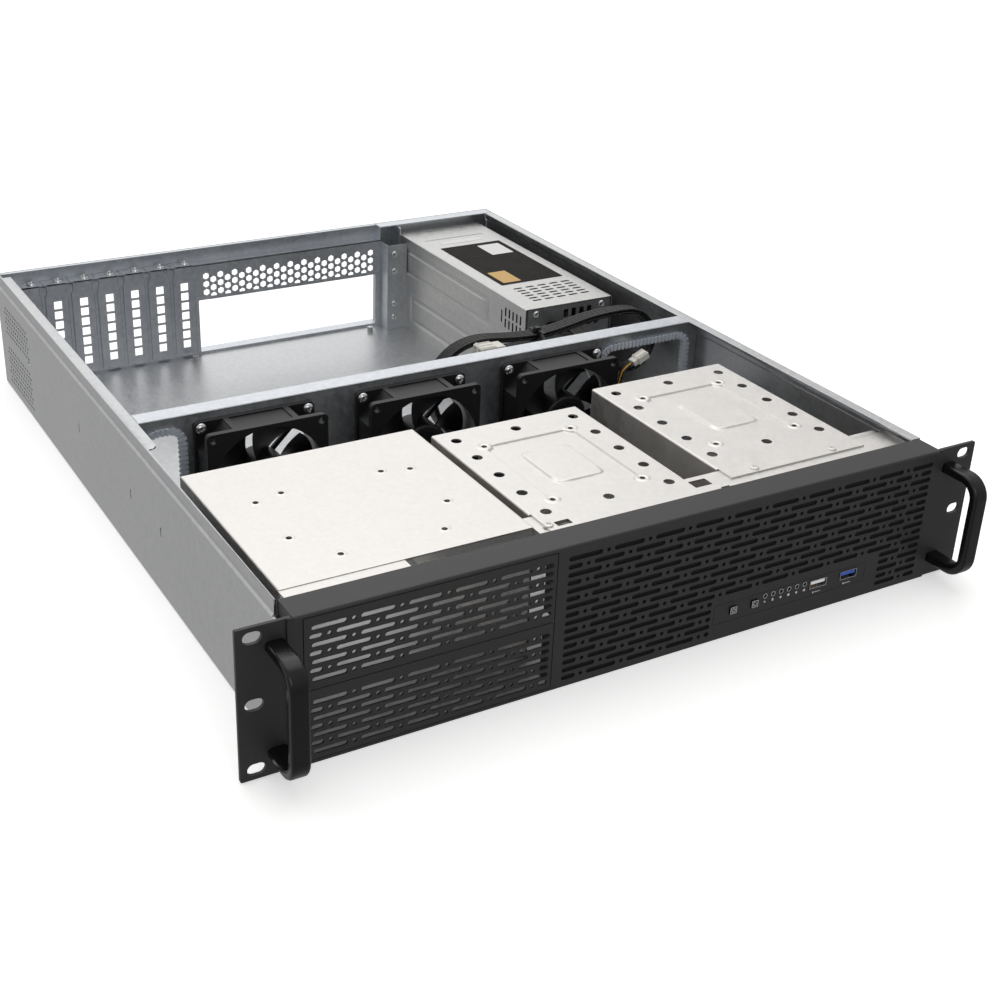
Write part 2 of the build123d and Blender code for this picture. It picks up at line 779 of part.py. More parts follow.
def psu_bracket():
    """Upright bracket beside the power supply, with its hook slots."""
    y1 = case_depth - sheet
    x0, x1 = step_x + fit, psu_left - fit
    top = case_height - sheet - fit
    body = block(x0, x1, y1 - sheet, y1, sheet, top)
    body += block(x1 - sheet, x1, y1 - bracket_depth, y1, sheet, top)
    hook = Box(4 * sheet, bracket_depth / 2 - 2, 3 * sheet)
    for z in hook_slots_z:
        body -= Pos(x1 - sheet / 2, y1 - bracket_depth / 2 - 1, z) * hook
    return body


def standoffs():
    """Board supports riveted into the floor, in each row of the pattern that clears the fan wall."""
    post = extrude(RegularPolygon(standoff_radius, few_sides), amount=standoff_height)
    clear = wall_y + wall_flange + standoff_radius + fit
    group = []
    for dx in board_columns:
        for dy in board_rows:
            if board_hole_y - dy > clear:
                group.append(Pos(board_hole_x - dx, board_hole_y - dy, sheet) * post)
    return group


def psu_shell():
    """Limits of the power supply's box."""
    x0, x1 = psu_left, psu_left + psu_width
    y0, y1 = psu_front, case_depth - sheet
    z0, z1 = sheet, sheet + psu_height
    return x0, x1, y0, y1, z0, z1


def psu_base():
    """Lower half of the power supply case, with its front and rear ends."""
    x0, x1, y0, y1, z0, z1 = psu_shell()
    t = psu_sheet
    mid = (z0 + z1) / 2
    points = [(x0, mid), (x0, z0), (x1, z0), (x1, mid)]
    body = along_y(sheet_outline(points, t), y0, y1)
    xm = (x0 + x1) / 2
    clear = t + fit
    end = Pos(xm, (z0 + z1) / 2) * Rectangle(x1 - x0 - 2 * clear, z1 - z0 - 2 * clear)
    end = chamfer(end.vertices(), sheet)
    foot = 4.0
    end += Pos(xm, z0 + t + foot / 2) * Rectangle(x1 - x0 - 2 * clear - foot, foot)
    end += Pos(xm, (z0 + t + foot + mid) / 2) * Rectangle(x1 - x0 - 2 * t, mid - z0 - t - foot)
    rear = end - Pos(xm, psu_fan_z) * RegularPolygon(psu_fan_radius, round_sides)
    rear -= Pos(xm, inlet_z) * Rectangle(inlet_width + fit, inlet_height + fit)
    front = end - Pos(x0 + psu_hole_x, z1 - psu_hole_drop) * Rectangle(*psu_hole)
    for k in range(psu_front_vents):
        at = Pos(x0 + psu_front_vent_x + k * psu_front_vent_pitch, z1 - psu_front_vent_drop)
        front -= at * Rectangle(*psu_front_vent)
    body += plate_y(rear, y1 - t, y1)
    body += plate_y(front, y0, y0 + t)
    return body


def psu_fan_frame():
    """Square housing of the power supply's own fan, against the inside of the rear end."""
    x0, x1, y0, y1, z0, z1 = psu_shell()
    back = y1 - psu_sheet
    front = back - psu_fan_depth
    here = Pos((x0 + x1) / 2, psu_fan_z)
    square = chamfer(Rectangle(psu_fan_size, psu_fan_size).vertices(), fan_corner)
    body = plate_y(here * (square - RegularPolygon(psu_fan_radius, round_sides)), front, back)
    across = 2 * psu_fan_radius + 2
    arms = Rectangle(across, strut_depth) + Rectangle(strut_depth, across)
    spider = arms + RegularPolygon(psu_hub_radius, round_sides)
    body += plate_y(here * spider, front, front + psu_spider)
    bearing = here * Circle(shaft_radius + shaft_gap)
    return body - plate_y(bearing, front - 1, front + psu_spider + 1)


def psu_fan_rotor():
    """Hub, straight pitched blades and shaft of the power supply's fan."""
    x0, x1, y0, y1, z0, z1 = psu_shell()
    x, back = (x0 + x1) / 2, y1 - psu_sheet
    front = back - psu_fan_depth
    hub_front, hub_back = front + psu_spider + 1, back - 1
    body = rod(x, psu_fan_z, psu_hub_radius, hub_front, hub_back)
    body += plate_y(Pos(x, psu_fan_z) * Circle(shaft_radius), front + fit, hub_front)
    tip = psu_fan_radius - fan_tip_gap
    reach = tip - psu_hub_radius + blade_root
    for k in range(psu_blade_count):
        blade = Pos(0, 0, tip - reach / 2) * Rot(0, 0, 40) * Box(12.0, blade_thickness, reach)
        turn = Rot(0, 360 / psu_blade_count * k, 0)
        body += Pos(x, (hub_front + hub_back) / 2, psu_fan_z) * turn * blade
    return body


def psu_fan_guard():
    """Finger guard of a ring and a cross, over the fan opening of the rear end."""
    x0, x1, y0, y1, z0, z1 = psu_shell()
    here = Pos((x0 + x1) / 2, psu_fan_z)
    guard = Sketch()
    ring = RegularPolygon(guard_radius, round_sides)
    guard += ring - RegularPolygon(guard_radius - guard_wire, round_sides)
    bar = Rectangle(2 * psu_fan_radius + 4 * guard_wire, guard_wire)
    for turn in (45, 135):
        guard += Rot(0, 0, turn) * bar
    return plate_y(here * guard, y1, y1 + guard_wire)


def psu_inlet():
    """Mains inlet: a shrouded socket with three flat pins."""
    x0, x1, y0, y1, z0, z1 = psu_shell()
    here = Pos((x0 + x1) / 2, inlet_z)
    outer = Rectangle(inlet_width, inlet_height)
    room = Rectangle(inlet_width - 2 * inlet_wall, inlet_height - 2 * inlet_wall)
    room = chamfer(room.vertices().sort_by(Axis.Y)[-2:], 2 * inlet_wall)
    floor_y = y1 - inlet_depth + 2 * inlet_wall
    body = plate_y(here * outer, y1 - inlet_depth, y1 + psu_sheet)
    body -= plate_y(here * room, floor_y, y1 + sheet)
    for dx, dz in inlet_pins:
        pin = here * Pos(dx, dz) * Rectangle(*inlet_pin)
        body += plate_y(pin, floor_y - sheet, y1 - 3 * sheet)
    return body


def psu_board():
    """Circuit board of the power supply on four short posts."""
    x0, x1, y0, y1, z0, z1 = psu_shell()
    z = z0 + psu_sheet + psu_board_rise
    front, back = y0 + psu_board_margin, y1 - inlet_depth - psu_board_margin
    post = psu_board_post
    body = block(x0 + post, x1 - post, front, back, z, z + board_thickness)
    for x in (x0 + 2 * post, x1 - 2 * post):
        for y in (front + post, back - post):
            body += Pos(x, y, z - psu_board_rise / 2) * Box(post, post, psu_board_rise)
    return body


def psu_parts():
    """Transformer, two heat sinks and two capacitors standing on the power supply's board."""
    x0, x1, y0, y1, z0, z1 = psu_shell()
    xm, ym = (x0 + x1) / 2, (y0 + y1) / 2
    on_board = Pos(xm, ym, z0 + psu_sheet + psu_board_rise + board_thickness)
    upright = (Align.CENTER, Align.CENTER, Align.MIN)
    transformer = on_board * Box(*transformer_size, align=upright)
    sinks = []
    cans = []
    for side in (-1, 1):
        sink = Box(*sink_size, align=upright)
        sinks.append(on_board * Pos(side * sink_offset[0], sink_offset[1], 0) * sink)
        can = extrude(RegularPolygon(can_radius, 10), amount=can_height)
        cans.append(on_board * Pos(side * can_offset[0], can_offset[1], 0) * can)
    return transformer, sinks, cans


def front_board():
    """Narrow circuit board behind the controls."""
    return block(board_left, board_right, board_y, board_y + board_thickness, board_bottom, board_top)


def board_posts():
    """Spacers that carry the front board from the bezel."""
    group = []
    edge = post_radius + 1
    low, high = board_bottom + edge, board_top - edge
    for x, z in ((board_left + edge, low), (board_right - edge, high), (led_x + post_offset, low)):
        group.append(plate_y(Pos(x, z) * RegularPolygon(post_radius, few_sides), 0, board_y))
    return group


def usb_socket(x):
    """Metal shell of one socket with its tongue, standing on the front board."""
    here = Pos(x, usb_z)
    outer = Rectangle(usb_width, usb_height)
    hollow = Rectangle(usb_width - 2 * usb_wall, usb_height - 2 * usb_wall)
    return plate_y(here * (outer - hollow), -bezel_sheet - usb_wall, board_y)


def usb_tongue(x):
    """Insulator of one socket: a base with the contact tongue."""
    gap = usb_wall + shaft_gap
    base = Pos(x, usb_z) * Rectangle(usb_width - 2 * gap, usb_height - 2 * gap)
    tongue = Pos(x, usb_z + tongue_rise) * Rectangle(usb_width - 2 * tongue_inset, tongue_thickness)
    joint = board_y - usb_base_depth
    return plate_y(base, joint, board_y) + plate_y(tongue, fit, joint)


def button(x):
    """A push button: cap through the bezel, collar behind it and a plunger."""
    cap = Pos(x, control_z) * Rectangle(button_size, button_size)
    wide = button_size + 2 * button_collar
    collar = Pos(x, control_z) * Rectangle(wide, wide)
    stem = Pos(x, control_z) * Rectangle(button_stem, button_stem)
    body = plate_y(cap, -bezel_sheet - button_stand, fit)
    body += plate_y(collar, fit, fit + sheet)
    return body + plate_y(stem, fit + sheet, switch_front - button_travel - fit)


def switches():
    """Two small switches on the front board, behind the buttons."""
    group = []
    for x in (power_x, reset_x):
        body = Pos(x, control_z) * Rectangle(switch_size, switch_size)
        group.append(plate_y(body, switch_front, board_y))
    return group


def lamps():
    """Six lamps on the front board that show through the bezel."""
    group = []
    for k in range(led_count):
        lamp = Pos(led_x + k * led_pitch, led_z) * RegularPolygon(led_radius, 4)
        group.append(plate_y(lamp, -bezel_sheet, board_y))
    return group


def psu_cover():
    """Upper half of the power supply case, vented near the front."""
    x0, x1, y0, y1, z0, z1 = psu_shell()
    t = psu_sheet
    seam = (z0 + z1) / 2 + shaft_gap
    points = [(x0, seam), (x0, z1), (x1, z1), (x1, seam)]
    body = along_y(sheet_outline(points[::-1], t), y0, y1)
    vent = Box(*psu_vent_size, 4 * t)
    for column in range(psu_vent_columns):
        for row in range(psu_vent_rows):
            x = x0 + psu_vent_first[0] + column * psu_vent_pitch[0]
            y = y0 + psu_vent_first[1] + row * psu_vent_pitch[1]
            body -= Pos(x, y, z1) * vent
    side_vent = Box(4 * t, psu_side_vent[0], psu_side_vent[1])
    for column in range(psu_side_vents):
        y = y0 + psu_side_vent_first + column * psu_side_vent_pitch
        body -= Pos(x0, y, z1 - psu_side_vent_drop) * side_vent
    return body


def route_radii(points):
    """Bend radii of a cable's route, each as large as its two runs allow."""
    pts = [Vector(*p) for p in points]
    radii = []
    for before, here, after in zip(pts, pts[1:], pts[2:]):
        turn = (here - before).get_angle(after - here)
        run = min((here - before).length, (after - here).length)
        radii.append(0.45 * run / tan(radians(turn / 2)))
    return radii


def cable(name, points, diameter):
    """A cable along its route; prints its bend radii and how its volume compares."""
    radii = route_radii(points)
    path = FilletPolyline(*points, radius=radii)
    along = Vector(*points[1]) - Vector(*points[0])
    section = Plane(origin=points[0], z_dir=along) * RegularPolygon(diameter / 2, cable_sides)
    body = sweep(section, path=path)
    share = body.volume / (section.area * path.length)
    print(name, "length", round(path.length, 1), "volume share", round(share, 4))
    print("  radii", [round(r, 1) for r in radii])
    return body


def plug(points, size):
    """A plug on the end of a cable, its sizes along Y, across it and along the cable."""
    along = Vector(*points[-1]) - Vector(*points[-2])
    end = Plane(origin=points[-1], x_dir=(0, 1, 0), z_dir=along)
    body = Box(*size, align=(Align.CENTER, Align.CENTER, Align.MIN))
    return end * body


def cable_tie():
    """Strap round the two cables where they run side by side."""
    y0, z0 = tie_main
    y1, z1 = tie_drive
    apart = Vector(y1 - y0, z1 - z0)
    turn = degrees(atan2(apart.Y, apart.X))
    wide = main_cable + 2 * tie_gap
    room = chamfer(Rectangle(apart.length + wide, wide).vertices(), tie_corner)
    strap = offset(room, amount=tie_wall, kind=Kind.INTERSECTION) - room
    strap = Pos((y0 + y1) / 2, (z0 + z1) / 2) * Rot(0, 0, turn) * strap
    return along_x(Sketch() + strap, tie_x - tie_width / 2, tie_x + tie_width / 2)


transformer, heat_sinks, capacitors = psu_parts()
cage_hole = Cylinder(small_hole_radius, 4 * sheet)
behind_rail = rail_back + sheet
nodes = {
    "chassis_tray": chassis_tray(),
    "ear_left": ear(-1),
    "ear_right": ear(1),
    "handle_left": handle(-1),
    "handle_right": handle(1),
    "bezel": bezel(),
    "bay_cover_lower": bay_cover(0),
    "bay_cover_upper": bay_cover(1),
    "front_rail": front_rail(),
    "bay_cage": bay_cage(),
    "drive_cage_middle": drive_cage(middle_cage_x, middle_cage_front, middle_cage_back, behind_rail,
                                    cage_hole),
    "drive_cage_right": drive_cage(right_cage_x, right_cage_front, right_cage_back, behind_rail,
                                   through_hole(small_hole_radius)),
    "fan_wall": fan_wall(),
    "edge_trim_left": edge_trim(left_hole_left, left_hole_right),
    "edge_trim_right": edge_trim(right_hole_left, right_hole_right),
    "fan_screws": fan_screws(),
    "rear_panel": rear_panel(),
    "psu_bracket": psu_bracket(),
    "standoffs": standoffs(),
    "psu_base": psu_base(),
    "psu_cover": psu_cover(),
    "psu_fan_frame": psu_fan_frame(),
    "psu_fan_rotor": psu_fan_rotor(),
    "psu_fan_guard": psu_fan_guard(),
    "psu_inlet": psu_inlet(),
    "psu_board": psu_board(),
    "psu_transformer": transformer,
    "psu_heat_sinks": heat_sinks,
    "psu_capacitors": capacitors,
    "front_board": front_board(),
    "front_board_posts": board_posts(),
    "front_switches": switches(),
    "front_lamps": lamps(),
    "usb_shells": [usb_socket(usb_left_x), usb_socket(usb_right_x)],
    "usb_tongues": [usb_tongue(usb_left_x), usb_tongue(usb_right_x)],
    "power_button": button(power_x),
    "reset_button": button(reset_x),
    "main_cable": cable("main_cable", main_route, main_cable),
    "main_plug": plug(main_route, main_plug),
    "drive_cable": cable("drive_cable", drive_route, drive_cable),
    "drive_plug": plug(drive_route, drive_plug),
    "cable_tie": cable_tie(),
    "fan_lead": cable("fan_lead", lead_route, fan_lead),
    "fan_lead_plug": plug(lead_route, lead_plug),
}
for number, x in enumerate(fan_positions(), 1):
    nodes[f"fan_frame_{number}"] = fan_frame(x)
    nodes[f"fan_rotor_{number}"] = fan_rotor(x)
for number, x in enumerate(slot_positions(), 1):
    nodes[f"slot_cover_{number}"] = slot_cover(x)

# The frame's origin is the middle of the whole box, on the underside
shift = Pos(0, -(case_depth - handle_reach) / 2, 0)
os.makedirs("parts", exist_ok=True)
for name, solids in nodes.items():
    parts = solids if isinstance(solids, list) else solids.solids()
    export_step(Compound(children=[shift * p for p in parts]), f"parts/{name}.step")
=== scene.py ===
import math

import bmesh
import bpy
from mathutils import Matrix, Vector
from mathutils.geometry import tessellate_polygon


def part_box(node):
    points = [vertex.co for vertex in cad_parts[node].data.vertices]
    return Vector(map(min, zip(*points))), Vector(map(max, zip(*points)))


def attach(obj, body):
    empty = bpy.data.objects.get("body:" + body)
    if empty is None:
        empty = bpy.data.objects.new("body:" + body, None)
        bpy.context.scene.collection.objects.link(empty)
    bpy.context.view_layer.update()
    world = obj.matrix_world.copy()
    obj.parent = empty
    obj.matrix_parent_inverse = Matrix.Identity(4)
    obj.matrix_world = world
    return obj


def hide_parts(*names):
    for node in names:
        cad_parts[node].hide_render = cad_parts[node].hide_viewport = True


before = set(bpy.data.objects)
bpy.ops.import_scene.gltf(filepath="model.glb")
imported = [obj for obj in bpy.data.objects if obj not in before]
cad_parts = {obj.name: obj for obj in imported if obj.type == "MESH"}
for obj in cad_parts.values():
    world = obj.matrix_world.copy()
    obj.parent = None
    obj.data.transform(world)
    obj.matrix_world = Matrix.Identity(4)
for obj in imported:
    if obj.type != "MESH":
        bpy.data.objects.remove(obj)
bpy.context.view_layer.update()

# Camera, floor and studio light
# A plain pale floor with soft light from above and behind and a dimmer surround, so that the zinc
# plated sheet shows light tops and darker sides. The camera turns left, looks down and rolls.
ear_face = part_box("ear_left")[0].y
lens_focal = 1516.7
sensor = 36
picture_width = 1000
camera_place = (-453.3, -571.6, 471.9)
camera_turn = (-30.5, 26.2, 2.04)
floor_reach = 6
floor_drop = 0.0003


def mm(x, y, z):
    """A place in millimetres from the ears' front face, as a place in the frame."""
    return Vector((x / 1000, y / 1000 + ear_face, z / 1000))


def placed(name, data):
    """A new object in the scene that shows a mesh, a curve, a lamp or a camera."""
    made = bpy.data.objects.new(name, data)
    bpy.context.collection.objects.link(made)
    return made


def mesh_of(verts, faces):
    """A mesh from its corners, in the frame, and its faces."""
    data = bpy.data.meshes.new("part")
    data.from_pydata([tuple(v) for v in verts], [], faces)
    return data


def linear(code):
    """An sRGB hex colour as linear red, green, blue and alpha."""
    values = [int(code[i:i + 2], 16) / 255 for i in (1, 3, 5)]
    return [v / 12.92 if v <= 0.04045 else ((v + 0.055) / 1.055) ** 2.4 for v in values] + [1]


def link(tree, target, sockets):
    """Sets or links a node's inputs; a node given as a value stands for its first output."""
    for key, value in sockets.items():
        if isinstance(value, bpy.types.Node):
            value = value.outputs[0]
        if isinstance(value, bpy.types.NodeSocket):
            tree.links.new(value, target.inputs[key])
        else:
            target.inputs[key].default_value = value


def node(tree, kind, sockets={}, **settings):
    """Adds a shader node with its properties and its inputs."""
    made = tree.nodes.new("ShaderNode" + kind)
    for key, value in settings.items():
        setattr(made, key, value)
    link(tree, made, sockets)
    return made


def material(name):
    """A new material, as (material, tree, shader)."""
    made = bpy.data.materials.new(name)
    made.use_nodes = True
    return made, made.node_tree, made.node_tree.nodes["Principled BSDF"]


camera = placed("camera", bpy.data.cameras.new("camera"))
camera.data.sensor_width = sensor
camera.data.lens = lens_focal * sensor / picture_width
camera.data.shift_x, camera.data.shift_y = 0.03, -0.03
turn, down, roll = (math.radians(a) for a in camera_turn)
camera.matrix_world = (Matrix.Translation(mm(*camera_place)) @ Matrix.Rotation(turn, 4, "Z")
                       @ Matrix.Rotation(math.pi / 2 - down, 4, "X") @ Matrix.Rotation(roll, 4, "Z"))
camera.data.clip_start, camera.data.clip_end = 0.05, 50
bpy.context.scene.camera = camera

# Matt white studio paper: it lights itself a little, which keeps it evenly pale.
floor_paper, tree, shader = material("pale_studio_paper")
grain = node(tree, "TexNoise", {"Scale": 3, "Detail": 2})
tone = node(tree, "Mix", {0: grain, 6: linear("#f8f8f8"), 7: linear("#fdfdfd")}, data_type="RGBA")
link(tree, shader, {"Base Color": tone.outputs[2], "Roughness": 0.9, "Emission Color": linear("#ffffff"),
                    "Emission Strength": 0.42})
corners = [(u * floor_reach, v * floor_reach, 0) for u, v in ((-1, -1), (1, -1), (1, 1), (-1, 1))]
floor = placed("studio_floor", mesh_of(corners, [(0, 1, 2, 3)]))
floor.location.z = -floor_drop
floor.data.materials.append(floor_paper)
floor.visible_glossy = False

world = bpy.data.worlds.new("studio")
bpy.context.scene.world = world
world.use_nodes = True
tree = world.node_tree
tree.nodes.clear()
way = node(tree, "SeparateXYZ", {0: node(tree, "TexCoord").outputs["Generated"]})
height = node(tree, "MapRange", {0: way.outputs["Z"], 1: -0.15, 2: 0.5, 3: 0.5, 4: 0.82})
depth = node(tree, "MapRange", {0: way.outputs["Y"], 1: -0.8, 2: 0.8, 3: 0.5, 4: 1.1})
amount = node(tree, "Math", {0: height, 1: depth}, operation="MULTIPLY")
node(tree, "OutputWorld", {0: node(tree, "Background", {0: linear("#f7f6f5"), 1: amount})})

for name, place, aim, size, power in (
    ("top_light", (0.2, 0.5, 2), (0, 0, 0), 2.2, 14),
    ("rear_light", (0.8, 2.4, 1.2), (0, 0, 0.05), 1.8, 4),
    ("front_light", (-0.6, -2.4, 1.4), (0, -0.2, 0.05), 1.4, 8),
):
    lamp = placed(name, bpy.data.lights.new(name, "AREA"))
    lamp.data.size, lamp.data.energy = size, power
    lamp.location = place
    lamp.rotation_euler = (Vector(aim) - Vector(place)).to_track_quat("-Z", "Y").to_euler()
bpy.context.scene.view_settings.view_transform = "Standard"


# Chassis tray
# One folded sheet of zinc plated steel: floor and both side walls, stepped in along the top to
# carry a lid. The left wall's rear corner is punched with small staggered air slots.
vent_length, vent_height = 3.6, 1.9
vent_step = (5.6, 3.9)
vent_groups = ((466.5, 532, 8.5, 8), (466.5, 532, 48, 6))
oval_hole = (469, 44.3, 6, 3.6)
left_wall = (-217, -212)
grit_mm = 1.11
sheet_axes = {"xz": (0, 2, 1), "xy": (0, 1, 2), "yz": (1, 2, 0)}


def zinc_plate(name, light, dark, rough, spangle_mm=2.6, cloud_mm=71.4):
    """Zinc plating: bright metal with fine grit, a faint spangle and cloudy gloss."""
    made, tree, shader = material(name)
    place = node(tree, "TexCoord").outputs["Object"]
    spangle = node(tree, "TexVoronoi", {"Vector": place, "Scale": 1000 / spangle_mm})
    cloud = node(tree, "TexNoise", {"Vector": place, "Scale": 1000 / cloud_mm, "Detail": 5})
    grit = node(tree, "TexNoise", {"Vector": place, "Scale": 1000 / grit_mm, "Detail": 2})
    blend = node(tree, "Math", {0: spangle.outputs["Color"], 1: cloud}, operation="ADD")
    share = node(tree, "MapRange", {0: blend, 1: 0.4, 2: 1.5})
    tone = node(tree, "Mix", {0: share, 6: linear(dark), 7: linear(light)}, data_type="RGBA")
    gloss = node(tree, "MapRange", {0: share, 3: rough - 0.05, 4: rough + 0.06})
    bump = node(tree, "Bump", {"Height": grit, "Strength": 0.12, "Distance": 0.0002})
    link(tree, shader, {"Base Color": tone.outputs[2], "Roughness": gloss, "Normal": bump, "Metallic": 1})
    return made


def on_plane(plane, u, v, depth):
    """A place in the frame from two values in a plane and one across it."""
    spot = [0, 0, 0]
    for axis, value in zip(sheet_axes[plane], (u, v, depth)):
        spot[axis] = value
    return mm(*spot)


def sheet(loops, low, high, plane="xz"):
    """A flat sheet cut to an outline with holes, as a closed mesh between two depths."""
    verts = [on_plane(plane, u, v, depth) for depth in (low, high) for loop in loops for u, v in loop]
    count = len(verts) // 2
    faces = []
    for a, b, c in tessellate_polygon([[Vector((u, v, 0)) for u, v in loop] for loop in loops]):
        faces += [(a, b, c), (c + count, b + count, a + count)]
    start = 0
    for loop in loops:
        size = len(loop)
        for k in range(size):
            a, b = start + k, start + (k + 1) % size
            faces.append((a, b, b + count, a + count))
        start += size
    return mesh_of(verts, faces)


def arc(u, v, radius, start, sweep, steps):
    """Points on a circle, from one angle in degrees through a sweep."""
    turns = [math.radians(start + sweep * k / steps) for k in range(steps + 1)]
    return [(u + radius * math.cos(t), v + radius * math.sin(t)) for t in turns]


def obround(u, v, length, height, steps=5):
    """A round-ended slot, as points."""
    r = height / 2
    reach = length / 2 - r
    return arc(u + reach, v, r, -90, 180, steps) + arc(u - reach, v, r, 90, 180, steps)


def disc(u, v, radius, sides=20, start=0):
    """A circle, or a regular polygon, as points."""
    return arc(u, v, radius, start, 360, sides)[:-1]


def rounded(u0, u1, v0, v1, radius, steps=4):
    """A rectangle with rounded corners, as points."""
    u0, u1 = sorted((u0, u1))
    found = []
    for u, v, start in ((u1 - radius, v0 + radius, -90), (u1 - radius, v1 - radius, 0),
                        (u0 + radius, v1 - radius, 90), (u0 + radius, v0 + radius, 180)):
        found += arc(u, v, radius, start, 90, steps)
    return found


def around(u, v, half_u, half_v, radius, steps=4):
    """A rounded rectangle round a place, as points."""
    return rounded(u - half_u, u + half_u, v - half_v, v + half_v, radius, steps)


def block(x0, x1, y0, y1, z0, z1, edge=0.15):
    """A box with narrow bevelled edges, as a mesh."""
    spans = [sorted(pair) for pair in ((x0, x1), (y0, y1), (z0, z1))]
    shape = bmesh.new()
    bmesh.ops.create_cube(shape, size=1)
    for v in shape.verts:
        v.co = mm(*(span[c > 0] for span, c in zip(spans, v.co)))
    if edge:
        bmesh.ops.bevel(shape, geom=shape.edges[:], offset=edge / 1000, segments=2, affect="EDGES")
    data = bpy.data.meshes.new("block")
    shape.to_mesh(data)
    shape.free()
    return data


def turned(profile, centre, axis, sides=24):
    """A closed turned shape: (radius, height) pairs spun round an axis through a place."""
    along = Vector(axis).normalized()
    across = along.orthogonal().normalized()
    third = along.cross(across)
    origin = mm(*centre)
    verts, faces, rings = [], [], []
    for radius, height in profile:
        count = sides if radius else 1
        rings.append(list(range(len(verts), len(verts) + count)))
        for k in range(count):
            turn = 2 * math.pi * k / sides
            spoke = across * math.cos(turn) + third * math.sin(turn)
            verts.append(origin + (along * height + spoke * radius) / 1000)
    for a, b in zip(rings, rings[1:]):
        for k in range(sides):
            n = (k + 1) % sides
            ring = list(dict.fromkeys([a[k % len(a)], a[n % len(a)], b[n % len(b)], b[k % len(b)]]))
            if len(ring) > 2:
                faces.append(ring)
    return mesh_of(verts, faces)


def joined(items, weld=False):
    """One mesh of several, faces turned outwards; each may come with its finish's number."""
    whole = bmesh.new()
    for item in items:
        data, finish = item if isinstance(item, tuple) else (item, 0)
        before = len(whole.faces)
        whole.from_mesh(data)
        whole.faces.ensure_lookup_table()
        if finish:
            for face in whole.faces[before:]:
                face.material_index = finish
        bpy.data.meshes.remove(data)
    if weld:
        bmesh.ops.remove_doubles(whole, verts=whole.verts[:], dist=2e-6)
    bmesh.ops.recalc_face_normals(whole, faces=whole.faces[:])
    data = bpy.data.meshes.new("joined")
    whole.to_mesh(data)
    whole.free()
    return data


def with_modifier(made, kind, **settings):
    """The mesh that an object shows once a modifier has worked on it."""
    step = made.modifiers.new("step", kind)
    for key, value in settings.items():
        setattr(step, key, value)
    graph = bpy.context.evaluated_depsgraph_get()
    result = bpy.data.meshes.new_from_object(made.evaluated_get(graph))
    made.modifiers.clear()
    return result


def cut(base, cutters):
    """A mesh with other closed meshes cut out of it."""
    body = placed("cut_body", joined([base], weld=True))
    tool = placed("cut_tool", joined(cutters))
    result = with_modifier(body, "BOOLEAN", object=tool, solver="MANIFOLD")
    bpy.data.objects.remove(body)
    bpy.data.objects.remove(tool)
    return result


def piece(name, meshes, finishes, nodes=(), body="case", smooth=40):
    """One named piece from several meshes, smooth but for its sharp edges."""
    data = joined(meshes)
    data.shade_smooth()
    data.set_sharp_from_angle(angle=math.radians(smooth))
    made = placed(name, data)
    made.data = with_modifier(made, "WEIGHTED_NORMAL", keep_sharp=True)
    made.data.name = name
    bpy.data.meshes.remove(data)
    for finish in finishes:
        made.data.materials.append(finish)
    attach(made, body)
    if nodes:
        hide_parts(*nodes)
    return made


# Zinc plated steel: a soft grey mirror whose gloss drifts in faint clouds.
zinc = zinc_plate("zinc_plated_steel", "#d0d1d2", "#bfc1c4", 0.36)
vent_cutters = []
for y_first, y_last, z_first, rows in vent_groups:
    for row in range(rows):
        y = y_first + (row % 2) * vent_step[0] / 2
        while y + vent_length < y_last:
            vent = obround(y + vent_length / 2, z_first + row * vent_step[1], vent_length, vent_height, 3)
            vent_cutters.append(sheet([vent], *left_wall, plane="yz"))
            y += vent_step[0]
vent_cutters.append(sheet([obround(*oval_hole)], *left_wall, plane="yz"))
tray_mesh = cut(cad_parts["chassis_tray"].data.copy(), vent_cutters)
tray_mesh.materials.clear()
piece("tray_sheet", [tray_mesh], [zinc], ["chassis_tray"])


# Board standoffs
# Small round steel pillars pressed into the floor, where the main board would be screwed.
# They and the other plain solids are shown as they are and only get their finish.


def paint(names, finish):
    """Gives solids of the frame one material in place of what they had."""
    for name in names:
        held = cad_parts[name].data.materials
        held.clear()
        held.append(finish)


paint(("standoffs", "front_board_posts"), zinc)


# Bezel
# Front panel of 1.2 mm steel, punched with rows of round-ended slots and dots, folded back
# along its edges and finished in fine textured black powder coat.
bezel_sheet = 1.2
bezel_half, bezel_return = 215, 211.7
bezel_top, bezel_bottom = 88, 1.3
bezel_lip = 18
fold = 1.6
window = (-207, -61.5, 1.6, 86.2)
grille_field = (-55, 206.5)
grille_top, grille_pitch, grille_rows = 80.2, 4.97, 16
grille_period = 27
row_dots = (186.3, 173.7)
slot_height = 2.9
dot_radius = 1.25
slot_to_dot = 3.7
# Rows end in slots (middle, length) and dots (middle, 0), other ones beside the controls.
last_dot = 194
row_end = ((last_dot, 0), (201.9, 8.2))
control_left, control_rows = 46, 5
control_ends = (((177.8, 8.6), (185.6, 0), (197.7, 17)), ((181.8, 16.6), (193.6, 0), (201.6, 9)))
power_place, reset_place = (62, 17.6), (77.8, 17.6)
lamp_places = [(85.8 + 6 * k, 20.3) for k in range(6)]
socket_places = ((126.2, 18.6), (150, 18.6))
coat_drift_mm = 111.1


def surface(name, colour, smooth, rough, patch_mm, grain=None, others={}):
    """A material whose gloss drifts from patch to patch, over a grain of (mm, detail, strength)."""
    made, tree, shader = material(name)
    place = node(tree, "TexCoord").outputs["Object"]
    haze = node(tree, "TexNoise", {"Vector": place, "Scale": 1000 / patch_mm})
    gloss = node(tree, "MapRange", {0: haze, 3: smooth, 4: rough})
    link(tree, shader, {"Base Color": linear(colour), "Roughness": gloss, **others})
    if grain:
        rises = node(tree, "TexNoise", {"Vector": place, "Scale": 1000 / grain[0], "Detail": grain[1]})
        link(tree, shader, {"Normal": node(tree, "Bump", {"Height": rises, "Strength": grain[2], "Distance": 0.0002})})
    return made


